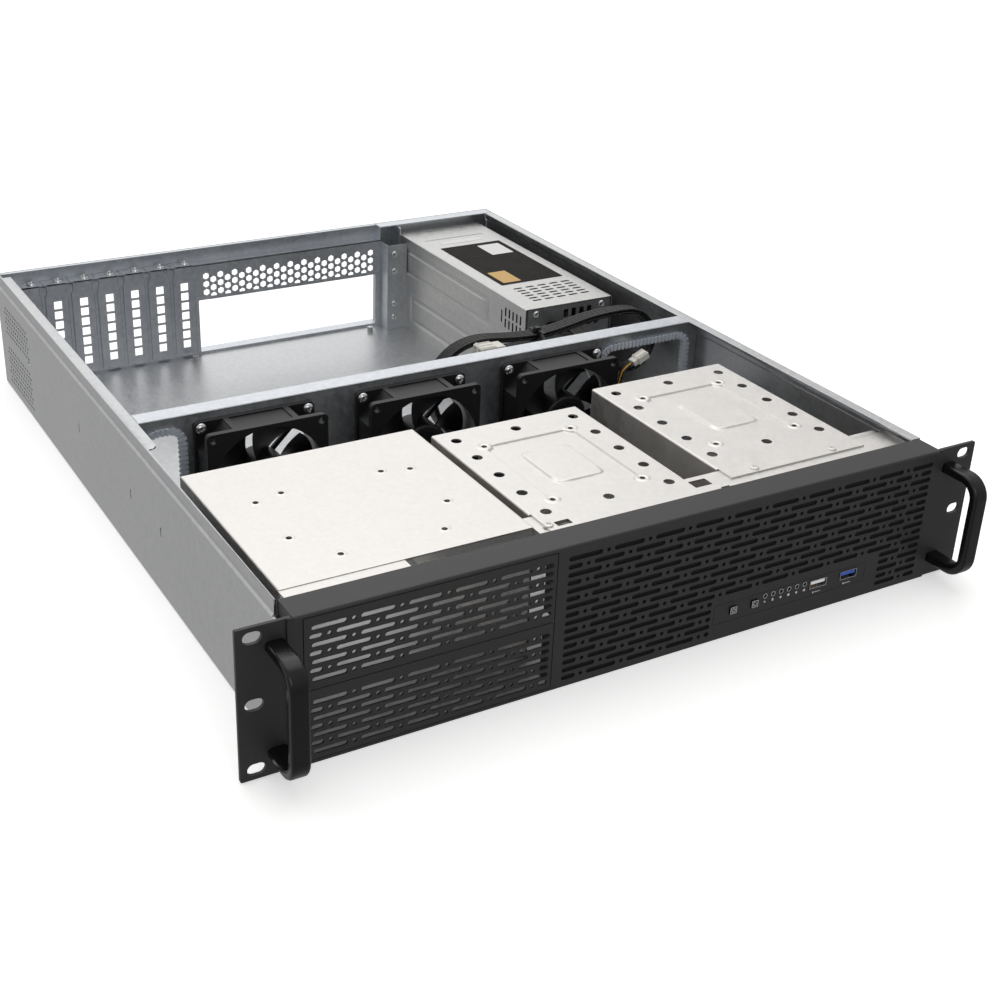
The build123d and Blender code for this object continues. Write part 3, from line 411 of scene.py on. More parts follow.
def grained(name, colour, rough, grain_mm=0.35):
    """A coat, film or moulding with a fine grain, drawn three times as coarse so that it shows."""
    return surface(name, colour, rough - 0.04, rough + 0.05, coat_drift_mm, (grain_mm * 3, 3, 0.25))


def grille_row(left, right, dot, z, period, least=3.5):
    """Outlines of one row: slots with a dot between each two, set out from one dot's place."""
    first = dot - math.floor((dot - left) / period) * period
    dots = []
    while first < right:
        dots.append(first)
        first += period
    edges = [left] + [d + s * slot_to_dot for d in dots for s in (-1, 1)] + [right]
    found = []
    for start, end in zip(edges[::2], edges[1::2]):
        start, end = max(start, left), min(end, right)
        if end - start > least:
            found.append(obround((start + end) / 2, z, end - start, slot_height))
    return found + [disc(d, z, dot_radius, 10) for d in dots if left < d - dot_radius and d + dot_radius < right]


bezel_holes = []
for row in range(grille_rows):
    z = grille_top - row * grille_pitch
    left, right = grille_field
    ends = ()
    if row >= grille_rows - control_rows:
        right, ends = control_left, control_ends[row % 2]
    elif row % 2:
        right, ends = last_dot - slot_to_dot, row_end
    bezel_holes += grille_row(left, right, row_dots[row % 2], z, grille_period)
    bezel_holes += [obround(x, z, length, slot_height) if length else disc(x, z, dot_radius, 10)
                    for x, length in ends]
bezel_holes += [around(x, z, 2.65, 2.65, 0.4) for x, z in (power_place, reset_place)]
bezel_holes += [disc(x, z, 1.2, 12) for x, z in lamp_places]
bezel_holes += [around(x, z, 6.85, 3.15, 0.6) for x, z in socket_places]
bezel_face = rounded(-bezel_half, bezel_half, 0, bezel_top - fold, 0.3)
fold_line = [(-bezel_sheet, bezel_top - fold)] + arc(fold - bezel_sheet, bezel_top - fold, fold, 180, -90, 6)
fold_line += [(bezel_lip, bezel_top), (bezel_lip, bezel_top - bezel_sheet), (0.6, bezel_top - bezel_sheet),
              (0, bezel_top - bezel_sheet - 0.6), (0, bezel_top - fold)]
bezel_meshes = [sheet([bezel_face, rounded(*window, 0.8)] + bezel_holes, -bezel_sheet, 0),
                sheet([fold_line], -bezel_return, bezel_return, "yz")]
for s in (-1, 1):
    inner = s * (bezel_return - bezel_sheet)
    bezel_meshes += [block(s * bezel_return, s * bezel_half, -bezel_sheet, 0, bezel_top - fold - 0.1, bezel_top, 0.3),
                     block(s * bezel_return, inner, 0, bezel_lip, bezel_bottom, bezel_top - bezel_sheet, 0.1)]
for ends in ((-59.1, bezel_return), (-bezel_return, -208.2)):
    bezel_meshes.append(block(*ends, 0, bezel_lip, bezel_bottom, bezel_bottom + bezel_sheet, 0.1))
# Baked powder coat: near black, with a soft sheen broken by a fine orange peel.
black_coat = grained("black_powder_coat", "#2a2a2b", 0.45)
piece("bezel_panel", bezel_meshes, [black_coat], ["bezel"], smooth=50)


# Painted shade behind the grille
# A fine black woven sheet stretched behind the bezel's main grille, cut out round the controls,
# which stands in for the shade inside the case: it is why these slots look evenly dark, while those of the bay covers
# do not.
thread_mm = 0.98
shade_sheet_edge = [(-57.5, 2.8), (46.9, 2.8), (46.9, 27.8), (171.5, 27.8), (171.5, 2.8), (209, 2.8), (209, 83.5),
             (-57.5, 83.5)]
# Painted shade: a dull black woven sheet whose crossing threads catch a little light.
shade_cloth, tree, shader = material("painted_shade_black_weave")
wave = {"Vector": node(tree, "TexCoord").outputs["Object"], "Scale": 100 * math.pi / thread_mm}
threads = [node(tree, "TexWave", wave, bands_direction=way).outputs[1] for way in ("X", "Z")]
weave = node(tree, "Math", dict(enumerate(threads)), operation="MAXIMUM")
link(tree, shader, {"Base Color": linear("#0e0e0f"), "Roughness": 0.85,
                    "Normal": node(tree, "Bump", {"Height": weave, "Strength": 0.6, "Distance": 0.0002})})
# This sheet paints the shade inside the case behind the grille.
piece("grille_painted_shade_sheet", [sheet([shade_sheet_edge], 0.05, 0.55)], [shade_cloth])


# Drive bay covers
# Two removable vented covers, punched and coated as the bezel is, each with turned lips that
# clip into the bezel's window.
cover_rows, cover_pitch, cover_period = 7, 4.93, 26.5
cover_right = -64
cover_starts = ((-202.4, -179.6), (-203.6, -192.9))
cover_ends = (window[0] + 0.5, window[1] - 0.5)
for name, low, high, top_row in (("bay_cover_lower", 2.1, 43.65, 36.2), ("bay_cover_upper", 44.15, 85.7, 79.3)):
    holes = []
    for row in range(cover_rows):
        start, dot = cover_starts[row % 2]
        holes += grille_row(start, cover_right, dot, top_row - row * cover_pitch, cover_period)
    shapes = [sheet([rounded(*cover_ends, low, high, 0.5)] + holes, -bezel_sheet, 0)]
    for x, out in zip(cover_ends, (-1, 1)):
        shapes.append(block(x, x - out * bezel_sheet, 0, 8, low + 3, high - 3, 0.2))
        shapes += [block(x, x + out * 1.9, 0.3, 1.5, z, z + 6, 0.2) for z in (low + 9, high - 15)]
    piece(name + "_sheet", shapes, [black_coat], [name], smooth=50)


# Rack ears and handles
# Ears of 2 mm steel in the same coat as the bezel. The handles are bent flat bar with rounded
# edges, in a glossier black, and are screwed to the ears from behind.
ear_half, ear_flange = 241.3, 212
bolt_line, bolt_rise = 232.55, 38.1
handle_middle, handle_reach = 221, 30
handle_low, handle_high = 10, 78
handle_wide, handle_thick = 10.5, 6
handle_bend = 11


def headings(line):
    """The way ahead at each place of a line."""
    last = len(line) - 1
    return [(line[min(i + 1, last)] - line[max(i - 1, 0)]).normalized() for i in range(last + 1)]


def swept(line, section, across):
    """A closed bar: a section of (side, out) pairs carried along a line, with its side ways."""
    verts, faces = [], []
    size = len(section)
    for here, ahead, side_way in zip(line, headings(line), across):
        out = side_way.cross(ahead).normalized()
        verts += [mm(*(here + side_way * u + out * v)) for u, v in section]
    for i in range(len(line) - 1):
        for k in range(size):
            a, b = i * size + k, i * size + (k + 1) % size
            faces.append((a, b, b + size, a + size))
    faces += [tuple(range(size)), tuple(range(len(verts) - size, len(verts)))]
    return mesh_of(verts, faces)


# Stove enamel: a deep black with sharp highlights.
gloss_black = grained("gloss_black_enamel", "#0c0c0d", 0.24, 0.6)
for side_name, s in (("left", -1), ("right", 1)):
    plate = rounded(s * ear_flange, s * ear_half, 0, 88, 1)
    slots = [obround(s * bolt_line, 44 + k * bolt_rise, 10, 6.8, 8) for k in (-1, 0, 1)]
    shapes = [sheet([plate] + slots, 0, 2),
              block(s * ear_flange, s * (ear_flange + 2), 1.9, 26, 1.6, 77.5, 0.3)]
    piece(f"ear_plate_{side_name}", shapes, [black_coat], [f"ear_{side_name}"])
    half = handle_thick / 2
    low, high, bend_y = handle_low + half, handle_high - half, half - handle_reach + handle_bend
    path = [(0, high)] + arc(bend_y, high - handle_bend, handle_bend, 90, 90, 10)
    path += arc(bend_y, low + handle_bend, handle_bend, 180, 90, 10) + [(0, low)]
    line = [Vector((s * handle_middle, y, z)) for y, z in path]
    section = rounded(-handle_wide / 2, handle_wide / 2, -half, half, 1.9)
    piece(f"handle_bar_{side_name}", [swept(line, section, [Vector((1, 0, 0))] * len(line))], [gloss_black],
          [f"handle_{side_name}"])


# Drive cages
# Thin zinc plated cages, open at both ends. The wide one has a plain top with small dimpled
# holes; the two for small drives have large screwdriver holes and a pressed pattern.
cage_top, cage_sheet, cage_foot = 83, 1, 8
cage_bend = 1.2
bay_plate = (-205, -55.4, 33.5, 174)
dimple_places = [(-178.9, 125.6), (-161.7, 130.5), (-99.4, 130.5), (-82.6, 126.2), (-82.9, 81.1), (-99.8, 53.1),
                 (-178.6, 80.6), (-161.4, 53)]
dimple_profile = [(3.6, 0), (3, 0.22), (2.3, 0.3), (1.75, 0.12), (1.75, -0.6), (3.6, -0.6), (3.6, 0)]
cage_screw = [(0, 0.5), (0.9, 0.4), (1.3, 1), (2.4, 0.8), (2.9, 0.3), (3, -0.4), (0, -0.4)]
cage_half = 52.5
small_hole, large_hole = 1.75, 3.3
drive_spacing = (30.86, 38.3)
large_hole_x, large_hole_step = 42, 25.4
press_depth, dimple_rise = 1, 0.5
corner_notch = (-43, -33.5, 28.4, 33.6)


def grid_lines(low, high, places, fine=0.5, coarse=3, reach=2.6):
    """Grid values from low to high, close together round the places."""
    found = [low]
    while found[-1] < high - fine:
        near = any(abs(found[-1] + fine - p) < reach for p in places)
        ahead = min([coarse] + [p - reach - found[-1] for p in places if p - reach > found[-1] + fine])
        found.append(min(high, found[-1] + (fine if near else max(fine, ahead))))
    found[-1] = high
    return found


def closed_grid(layers, rows):
    """A closed sheet between two layers of places, each a grid listed row by row."""
    count = len(layers[0])
    columns = count // rows
    faces = []
    for i in range(columns - 1):
        for j in range(rows - 1):
            a = i * rows + j
            ring = (a, a + rows, a + rows + 1, a + 1)
            faces += [ring, tuple(k + count for k in reversed(ring))]
    rim = [i * rows for i in range(columns)] + [(columns - 1) * rows + j for j in range(1, rows)]
    rim += [i * rows + rows - 1 for i in range(columns - 2, -1, -1)] + list(range(rows - 2, 0, -1))
    faces += [(a, a + count, b + count, b) for a, b in zip(rim, rim[1:] + rim[:1])]
    return mesh_of(layers[0] + layers[1], faces)


def relief(us, vs, plane, height, thick):
    """A closed sheet on a grid, whose outer face follows height(u, v)."""
    return closed_grid([[on_plane(plane, u, v, height(u, v) - below) for u in us for v in vs]
                        for below in (thick, 0)], len(vs))


def ease(value):
    """A smooth step from 0 to 1."""
    share = min(1, max(0, value))
    return share * share * (3 - 2 * share)


def in_rectangle(u, v, box, corner):
    """Distance into a rounded rectangle, positive inside it."""
    u0, u1, v0, v1 = box
    du = max(u0 + corner - u, u - u1 + corner)
    dv = max(v0 + corner - v, v - v1 + corner)
    if du > 0 and dv > 0:
        return corner - math.hypot(du, dv)
    return corner - max(du, dv)


def four(u, v, du, dv):
    """Four places at the corners of a rectangle round one place."""
    return [(u + s * du, v + t * dv) for s in (-1, 1) for t in (-1, 1)]


def bend_line(x, s, z, radius, degrees):
    """Outline of the round fold between an upright side and a flat top."""
    turns = [math.radians(a) for a in degrees]
    return [(x + s * radius * (1 - math.cos(t)), z + radius * math.sin(t)) for t in turns]


def cage_sides(x0, x1, y0, y1):
    """Both walls of a cage with their feet turned inwards and rounded top bends."""
    shapes = []
    for x, s in ((x0, 1), (x1, -1)):
        line = [(x + s * cage_foot, cage_sheet), (x, cage_sheet), (x, cage_top - cage_bend)]
        line += bend_line(x, s, cage_top - cage_bend, cage_bend, (22, 45, 67, 90))
        line += [(x + s * u, z) for u, z in ((cage_bend, cage_top - cage_sheet), (cage_sheet, cage_top - cage_bend),
                                             (cage_sheet, 2 * cage_sheet), (cage_foot, 2 * cage_sheet))]
        shapes.append(sheet([line], y0, y1))
    return shapes


# Bright zinc plating without a coat: lighter and finer clouded than the tray's.
cage_zinc = zinc_plate("bright_zinc_plating", "#e7e5e2", "#dfddda", 0.42, 2.2, 16.67)
x0, x1, y0, y1 = bay_plate
top_loops = [rounded(x0 + cage_bend, x1 - cage_bend, y0, y1, 0.2)]
top_loops += [disc(x, y, small_hole, 20) for x, y in dimple_places]
shapes = [sheet(top_loops, cage_top - cage_sheet, cage_top, "xy")]
shapes += [turned(dimple_profile, (x, y, cage_top), (0, 0, 1), 28) for x, y in dimple_places]
shapes.append(block(-205, -134, 20, 33.6, cage_top - cage_sheet - 0.4, cage_top - 0.4, 0.2))
piece("bay_cage_sheet", shapes + cage_sides(*bay_plate), [cage_zinc], ["bay_cage"])

for name, x_mid, y0, y1, y_mid in (("middle", 2, 25, 160, 94.9), ("right", 131.6, 34, 178.5, 113.4)):
    x0, x1 = x_mid - cage_half, x_mid + cage_half
    back = y1 - 12.5
    drive_holes = four(x_mid, y_mid, *drive_spacing)
    large_holes = [(x_mid + s * large_hole_x, back - row * large_hole_step) for s in (-1, 1) for row in range(5)]
    large_holes += [(x_mid, back), (x_mid, back - 4 * large_hole_step)]
    island = (x_mid - 16.5, x_mid + 16.5, y_mid - 21.5, y_mid + 21.5)
    channel = (x_mid - 30.9, x_mid + 30.9, y_mid - 38.3, y_mid + 38.3)

    def pressed(u, v):
        """Height of the pressed top: a sunken field with raised dimples and a middle pad."""
        sunk = ease(in_rectangle(u, v, channel, 4) / 0.8 + 0.5)
        sunk *= 1 - ease(in_rectangle(u, v, island, 5) / 1.4 + 0.5)
        rise = 0
        for hx, hy in drive_holes:
            far = math.hypot(u - hx, v - hy)
            sunk *= 1 - ease((5.6 - far) / 1.2)
            rise = max(rise, ease((5 - far) / 1.6) - 0.8 * ease((3.4 - far) / 1.2))
        return cage_top - sunk * press_depth + rise * dimple_rise

    across = grid_lines(x0 + cage_bend, x1 - cage_bend,
                        [x_mid + s * d for s in (-1, 1) for d in (16.5, 27.6, 30.9, 34.4)])
    along = grid_lines(y0, y1, [y_mid + s * d for s in (-1, 1) for d in (21.5, 35, 38.3, 41.8)])
    punches = [disc(x, y, large_hole, 24) for x, y in large_holes]
    punches += [disc(x, y, small_hole, 18) for x, y in drive_holes]
    screw_places = [(x_mid - 31, 38.2), (x_mid + 29, 38.2)]
    if name == "middle":
        punches.append(rounded(*corner_notch, 0.5))
        screw_places = [(-47.4, 31.6)]
    shapes = [cut(relief(across, along, "xy", pressed, cage_sheet),
                  [sheet([punch], cage_top - 4, cage_top + 2, "xy") for punch in punches])]
    shapes += cage_sides(x0, x1, 47, y1)
    shapes += [turned(cage_screw, (x, y, cage_top), (0, 0, 1)) for x, y in screw_places]
    piece(f"drive_cage_{name}_sheet", shapes, [cage_zinc], [f"drive_cage_{name}"], smooth=30)


# Front rail
# Galvanised cross rail behind the bezel that carries the cages, punched and folded from 1 mm
# sheet, with its front edge and both ends turned down.
rail_front, rail_back = 18.6, 46
rail_top = 82
rail_x = (-55.4, 212)
rail_cuts = [rounded(54.5, 66.5, 34, 42, 0.6), rounded(68, 74, 23.5, 28.5, 0.4),
             rounded(*corner_notch, 0.5)] + [disc(x, rail_back, 4.2, 24) for x in (-40, 2, 44)]
shapes = [cut(sheet([rounded(*rail_x, rail_front + 1, rail_back, 0.3)], rail_top - 1, rail_top, "xy"),
              [sheet([loop], rail_top - 2, rail_top + 1, "xy") for loop in rail_cuts]),
          block(*rail_x, rail_front, rail_front + 1, rail_top - 10, rail_top, 0.3)]
shapes += [block(x, x + 1, rail_front, rail_back - 8, rail_top - 18, rail_top - 0.9, 0.1)
           for x in (rail_x[0], rail_x[1] - 1)]
shapes.append(block(184.2, 205, rail_back - 0.5, 50, rail_top - 0.9, rail_top, 0.2))
piece("front_rail_sheet", shapes, [cage_zinc], ["front_rail"])


# Fan wall
# Cross wall of zinc plated steel with a duct hole for each fan, folded flanges and two arched
# cable openings, each edged with a toothed clear plastic strip.
wall_y, wall_flange = 242, 14.5
fan_xs, fan_z = (-132.7, -22.7, 87.3), 43.4
fan_duct, fan_hole_reach = 38, 35.75
left_arch = (-203, -180, 24, 79)
right_arch = (131, 203, 24, 79)
wall_end = [(213.2, 1), (213.7, 1.5), (213.7, 77.6), (212.2, 80), (212.2, 86.7), (206.2, 86.7), (206.2, 88)]
wall_screw = [(0, 2.2), (1.2, 1.5), (2.2, 2.1), (3.2, 1.3), (3.5, 0), (0, 0)]
tooth = ((-0.9, -2.6), (0.9, -2.6), (0.9, 2.2), (-0.9, 2.2))
tooth_step = 3.2


def arch(x0, x1, z0, z1, grow=0, corner=8, steps=6):
    """Outline of a cable opening with round upper corners."""
    x0, x1, z0, z1 = x0 - grow, x1 + grow, z0 - grow, z1 + grow
    r = corner + grow
    return [(x0, z0), (x1, z0)] + arc(x1 - r, z1 - r, r, 0, 90, steps) + arc(x0 + r, z1 - r, r, 90, 90, steps)


# Zinc plated steel in the case's depth: cooler and a little bluish.
steel_zinc = zinc_plate("inner_zinc_plated_steel", "#dadee2", "#c8ccd2", 0.38)
loops = [wall_end + [(-x, z) for x, z in wall_end[::-1]], arch(*left_arch), arch(*right_arch)]
for x in fan_xs:
    loops.append(disc(x, fan_z, fan_duct, 64))
    loops += [disc(u, v, 2, 16) for u, v in four(x, fan_z, fan_hole_reach, fan_hole_reach)]
flange_y = wall_y + wall_flange
shapes = [sheet(loops, wall_y, wall_y + 1), block(-206.2, 206.2, wall_y, flange_y, 87, 88, 0.4),
          block(-207.7, 207.7, wall_y + 0.9, flange_y, 1, 2, 0.2)]
for s in (-1, 1):
    shapes.append(block(s * 212.7, s * 213.7, wall_y + 0.9, flange_y, 4, 76.5, 0.2))
    shapes += [turned(wall_screw, (s * 212.7, wall_y + 9.5, z), (-s, 0, 0), 20) for z in (20.8, 61.4)]
piece("fan_wall_sheet", shapes, [steel_zinc], ["fan_wall"])

# Clear soft PVC: a milky strip that lets the dark behind it through.
clear_strip = surface("clear_soft_pvc", "#dfe6ef", 0.22, 0.42, 3.85,
                      others={"Transmission Weight": 0.35, "IOR": 1.53})
for name, box in (("left", left_arch), ("right", right_arch)):
    inner, outer = arch(*box, grow=-1.2), arch(*box, grow=2.2)
    shapes = [sheet([outer, inner], wall_y - 1, wall_y), sheet([outer, inner], wall_y + 1, wall_y + 2),
              sheet([arch(*box, grow=-0.02), inner], wall_y - 0.1, wall_y + 1.1)]
    path = arch(*box, grow=0.6, steps=8)
    path.append(path[0])
    left_over = 0
    for (ax, az), (bx, bz) in zip(path, path[1:]):
        span = math.hypot(bx - ax, bz - az)
        tx, tz = (bx - ax) / span, (bz - az) / span
        along = left_over
        while along < span:
            ring = [(ax + tx * (along + a) - tz * b, az + tz * (along + a) + tx * b) for a, b in tooth]
            shapes += [sheet([ring], wall_y + low, wall_y + high) for low, high in ((-1.9, -0.9), (1.9, 2.7))]
            along += tooth_step
        left_over = along - span
    piece(f"edge_trim_strip_{name}", shapes, [clear_strip], [f"edge_trim_{name}"])


# Fans
# Three 80 mm fans moulded in black ABS: a square frame with a waisted duct and struts behind,
# and a rotor of seven swept blades. Bright pan head screws hold them to the wall.
fan_depth, fan_half, fan_flange = 25, 40, 4
waist_half, rib_reach = 39.2, 39.3
blade_count = 7
motor_profile = [(0, 3.6), (15.4, 3.6), (16, 3.2), (16, 0.2), (0, 0.2)]
hub_profile = [(0, 0.4), (4, 0), (14.2, 0), (16.2, 0.5), (17, 1.6), (17, 18), (15.5, 18.4), (0, 18.4)]
hub_film_profile = [(0, -0.02), (12.2, -0.02), (12.4, 0.1), (0, 0.42)]
shaft_profile = [(0, 0), (1.5, 0), (1.5, 3.2), (0, 3.2)]
fan_screw = [(0, 1.1), (0.9, 0.9), (1.4, 1.9), (2.6, 1.6), (3.5, 0.7), (3.6, 0), (0, 0)]
screw_shank = [(0, 0), (1.9, 0), (1.9, 5), (0, 5)]
rearward = Vector((0, 1, 0))


def blade_mesh(x, y_mid, z, turn, inner=16.4, tip=36.4, reach=8.2, sweep=16, chord=0.86):
    """One fan blade: a cambered, twisted and swept sheet that grows wider outwards."""
    across, along, thick = 8, 7, 0.75
    layers = [[], []]
    for layer, found in zip((-1, 1), layers):
        for way in [j / along - 0.5 for j in range(along + 1)]:
            for share in [i / across for i in range(across + 1)]:
                radius = inner + (tip - inner) * share
                angle = turn + math.radians(sweep) * share ** 1.3 + way * chord * (1 + 0.25 * share)
                depth = y_mid + way * 2 * reach + math.cos(way * math.pi) * 1.6
                depth += layer * thick * (1 - (2 * abs(way)) ** 4 * 0.6)
                found.append(mm(x + radius * math.sin(angle), depth, z + radius * math.cos(angle)))
    return closed_grid(layers, across + 1)


def moved(data, turn, place):
    """A mesh turned about the zero of the millimetres and taken to a place."""
    data.transform(Matrix.Translation(mm(*place)) @ turn @ Matrix.Translation(-mm(0, 0, 0)))
    return data


# Moulded ABS: a matt black with a fine spark-eroded grain.
black_abs = grained("moulded_black_abs", "#161617", 0.45, 0.5)
# Polyester label film: a smooth black disc that mirrors the light.
hub_film = grained("black_label_film", "#1c1d1f", 0.2, 0.8)
# Nickel plated steel: bright heads with a slightly uneven shine.
screw_steel = surface("nickel_plated_steel", "#d9dadc", 0.16, 0.3, 0.556, others={"Metallic": 1})
screws = []
for k, x in enumerate(fan_xs, 1):
    y0, y1 = wall_y - fan_depth, wall_y
    corners = four(x, fan_z, fan_hole_reach, fan_hole_reach)
    square = around(x, fan_z, fan_half, fan_half, 3.2, 5)
    waist = around(x, fan_z, waist_half, waist_half, 17, 1)
    bore = disc(x, fan_z, fan_duct, 64)
    low, high = y0 + fan_flange - 0.1, y1 - fan_flange + 0.1
    shapes = [sheet([square, bore] + [disc(u, v, 2.2, 16) for u, v in corners], a, a + fan_flange)
              for a in (y0, y1 - fan_flange)]
    shapes.append(sheet([waist, bore], low, high))
    shapes += [block(u - 2, u + 2, low, high, v - 0.6, v + 0.6, 0.1) for u, v in four(x, fan_z, 20, rib_reach)]
    shapes.append(turned(motor_profile, (x, y1 - fan_flange, fan_z), rearward, 48))
    shapes += [moved(block(-1.5, 1.5, -2.8, -0.3, 12, fan_duct + 1.5, 0.3),
                     Matrix.Rotation(math.radians(45 + 90 * arm), 4, "Y"), (x, y1, fan_z)) for arm in range(4)]
    piece(f"fan_{k}_housing", shapes, [black_abs], [f"fan_frame_{k}"])
    shapes = [turned(hub_profile, (x, y0 + 1.6, fan_z), rearward, 48),
              (turned(hub_film_profile, (x, y0 + 1.6, fan_z), rearward, 40), 1)]
    shapes += [blade_mesh(x, (y0 + y1) / 2 - 1.5, fan_z, 2 * math.pi * blade / blade_count)
               for blade in range(blade_count)]
    shapes.append(turned(shaft_profile, (x, y1 - 5.2, fan_z), rearward, 16))
    piece(f"fan_{k}_blades", shapes, [black_abs, hub_film], [f"fan_rotor_{k}"],
          body=f"fan_rotor_{k}")
    for u, v in corners:
        screws += [turned(fan_screw, (u, y1 - fan_flange, v), -rearward),
                   turned(screw_shank, (u, y1 - fan_flange, v), rearward, 12)]
piece("fan_screw_set", screws, [screw_steel], ["fan_screws"])


# Rear panel
# Rear wall of the same zinc sheet: a recessed part with the port opening, hexagonal air holes
# and seven expansion slots, a shelf that takes the slot covers' screws, and the flush end
# panel round the power supply.
rear = 549
slot_wall = (536.5, 537.5)
shelf = 77
step_x = 104
port = (-60, 98.75, 3, 47.45)
slot_xs = [-71.6 - 20.32 * k for k in range(7)]
hex_first, hex_pitch, hex_drop = -52.8, 6.12, 3.4
psu_left, psu_right, psu_front, psu_back = 120.7, 198.3, 329, 548
psu_low, psu_high = 1, 81
shelf_button = [(0, 0.1), (1.6, 0.3), (2.4, 0.25), (3.4, 0), (0, 0)]
top_screw = [(0, 0.3), (1.2, 0.2), (2.4, 0.9), (3.4, 0.3), (3.6, 0), (0, 0)]
edge_out, edge_deep = 2.6, 0.7
loop = [(-213.2, 1), (-213.7, 1.5), (-213.7, shelf), (step_x, shelf), (step_x, 1)]
holes = [rounded(x - 6.5, x + 6.5, 8, 70, 0.8) for x in slot_xs] + [rounded(*port, 1.2)]
holes += [disc(hex_first + column * hex_pitch, z - (column % 2) * hex_drop, 2.85, 6, 30)
          for column in range(25) for z in (67, 60.2, 53.4)]
rim = [(-213.7, shelf - 1), (step_x, shelf - 1), (step_x, 88), (-212.2, 88), (-212.2, 80), (-213.7, 77.6)]
end = [(step_x - 1, 1), (213.2, 1), (213.7, 1.5), (213.7, 77.6), (212.2, 80), (212.2, 88), (step_x - 1, 88)]
psu_hole = rounded(psu_left + 3, psu_right - 3, psu_low + 3, psu_high - 3, 2)
shapes = [sheet([loop] + holes, *slot_wall), sheet([rim], rear - 1, rear),
          sheet([end, psu_hole], rear - 1, rear)]
shapes += [block(*span) for span in (
    (-213.7, step_x, slot_wall[0], rear, shelf - 1, shelf, 0.2),
    (step_x - 1, step_x, slot_wall[0], rear, 1, 88, 0.2),
    (-213.2, step_x, slot_wall[1], rear, 1, 2, 0.1), (-212, step_x, rear - 4.5, rear, 87.2, 88, 0.2),
    (step_x - 1, 212.2, slot_wall[1], rear, 87, 88, 0.3))]
shapes += [block(x0, x1, slot_wall[0] - edge_deep, slot_wall[0] + 0.1, z0, z1, 0.3) for x0, x1, z0, z1 in (
    (port[0] - edge_out, port[1] + edge_out, port[3], port[3] + edge_out),
    (port[0] - edge_out, port[0], port[2], port[3]), (port[1], port[1] + edge_out, port[2], port[3]))]
shapes += [turned(shelf_button, (x, 543, shelf), (0, 0, 1), 20) for x in (-200, -120, -60, 20, 90)]
shapes.append(turned(top_screw, (158, 543, 87.05), (0, 0, 1), 20))
piece("rear_panel_sheet", shapes, [steel_zinc], ["rear_panel"])


# Slot covers
# Seven thin covers with a row of square air holes, narrowed near the top, each held by one
# bright screw on the shelf and by a small turned hook at the floor.
cover_low, cover_top = 3, shelf + 0.8
cover_y = (535.7, 536.5)
cover_wide, cover_narrow = 9.3, 7.9
cover_outline = [(-cover_wide, cover_low), (cover_wide, cover_low), (cover_wide, 68), (cover_narrow, 70.5),
                 (cover_narrow, cover_top), (-cover_narrow, cover_top), (-cover_narrow, 70.5), (-cover_wide, 68)]
hook_outline = [(-4.5, 3.4), (4.5, 3.4), (4.5, 2), (3.3, 2), (3.3, 2.7), (-4.5, 2.7)]
cover_screw = [(0, 1.3), (0.9, 1.1), (1.5, 2.3), (2.9, 1.9), (3.6, 0.8), (3.7, 0), (0, 0)]
for k, x in enumerate(slot_xs, 1):
    loops = [[(x + u, z) for u, z in cover_outline]]
    loops += [around(x, z, 3.15, 3.15, 0.5) for z in (60.8 - 8.07 * n for n in range(7))]
    shapes = [sheet(loops, *cover_y)]
    for s in (-1, 1):
        shapes += [block(x + s * cover_wide, x + s * 8.2, 535.1, 535.9, cover_low, 67.6, 0.25),
                   block(x + s * cover_narrow, x + s * 6.9, 535.1, 535.9, 70.6, cover_top, 0.25)]
    tab = rounded(x - cover_wide, x + cover_wide, cover_y[0], 547.7, 1.2)
    shapes += [sheet([tab], shelf, cover_top, "xy"), sheet([[(x + u, z) for u, z in hook_outline]], 534.2, 535.8),
               (turned(cover_screw, (x + 3, 541.5, cover_top), (0, 0, 1)), 1)]
    piece(f"slot_cover_{k}_sheet", shapes, [steel_zinc, screw_steel], [f"slot_cover_{k}"])


# Power supply bracket
# Upright angle with hook slots that holds the power supply's rear corner, folded from the same
# zinc plated sheet as the rear panel and fixed to it with small bright screws.
bracket_x, bracket_top = (104.3, 120.4), 86.7
hooks = [rounded(534.5, 539.5, z - 1.6, z + 1.6, 0.4) for z in (18, 30, 58, 70)]
small_screw = [(0, 0.9), (0.8, 0.8), (1.3, 1.6), (2.4, 1.3), (2.9, 0.5), (3, 0), (0, 0)]
shapes = [block(*bracket_x, 547, 548, 1, bracket_top),
          sheet([rounded(532, 548, 1, bracket_top, 1)] + hooks, bracket_x[1] - 1, bracket_x[1], "yz"),
          block(step_x - 1, step_x, 522, slot_wall[0] + 0.1, 1, 76, 0.2),
          block(step_x - 1, 121, 521.6, 522.4, 1, 76, 0.2)]
for x, y, heights in ((111, 547, (12.3, 23.4, 53.4, 67.7)), (109.5, 521.6, (12, 24, 53, 68))):
    shapes += [(turned(small_screw, (x, y, z), -rearward, 20), 1) for z in heights]
piece("psu_bracket_sheet", shapes, [steel_zinc, screw_steel], ["psu_bracket"])


# Power supply case
# Two folded halves of thin zinc plated steel that meet at mid height, with pressed panels in
# the sides, short air slots in the top and a plain dark rating plate.
shell = 0.8
seam = 41
x0, x1, y0, y1 = psu_left, psu_right, psu_front, psu_back
xm = (x0 + x1) / 2
psu_fan_z = 53.5
upper_panel = (y0 + 52, y1 - 24, 49, 73)
lower_panel = (y0 + 42, y1 - 34, 9, 33)
case_screw = [(0, 0.7), (0.8, 0.6), (1.2, 1.3), (2.2, 1), (2.7, 0.4), (2.8, 0), (0, 0)]
# Films on the top: (place, corner, height from, height to, finish).
films = (((132.5, 188.6, 384, 484), 1, 0, 0.15, 0), ((136.5, 152.5, 388, 414), 0.8, 0.14, 0.2, 1),
         ((164, 184, 452, 478), 0.8, 0.14, 0.2, 2), ((135, 160, 450, 479), 0.8, 0.14, 0.2, 0),
         ((140, 178, 492.5, 500), 0.6, 0, 0.15, 2))


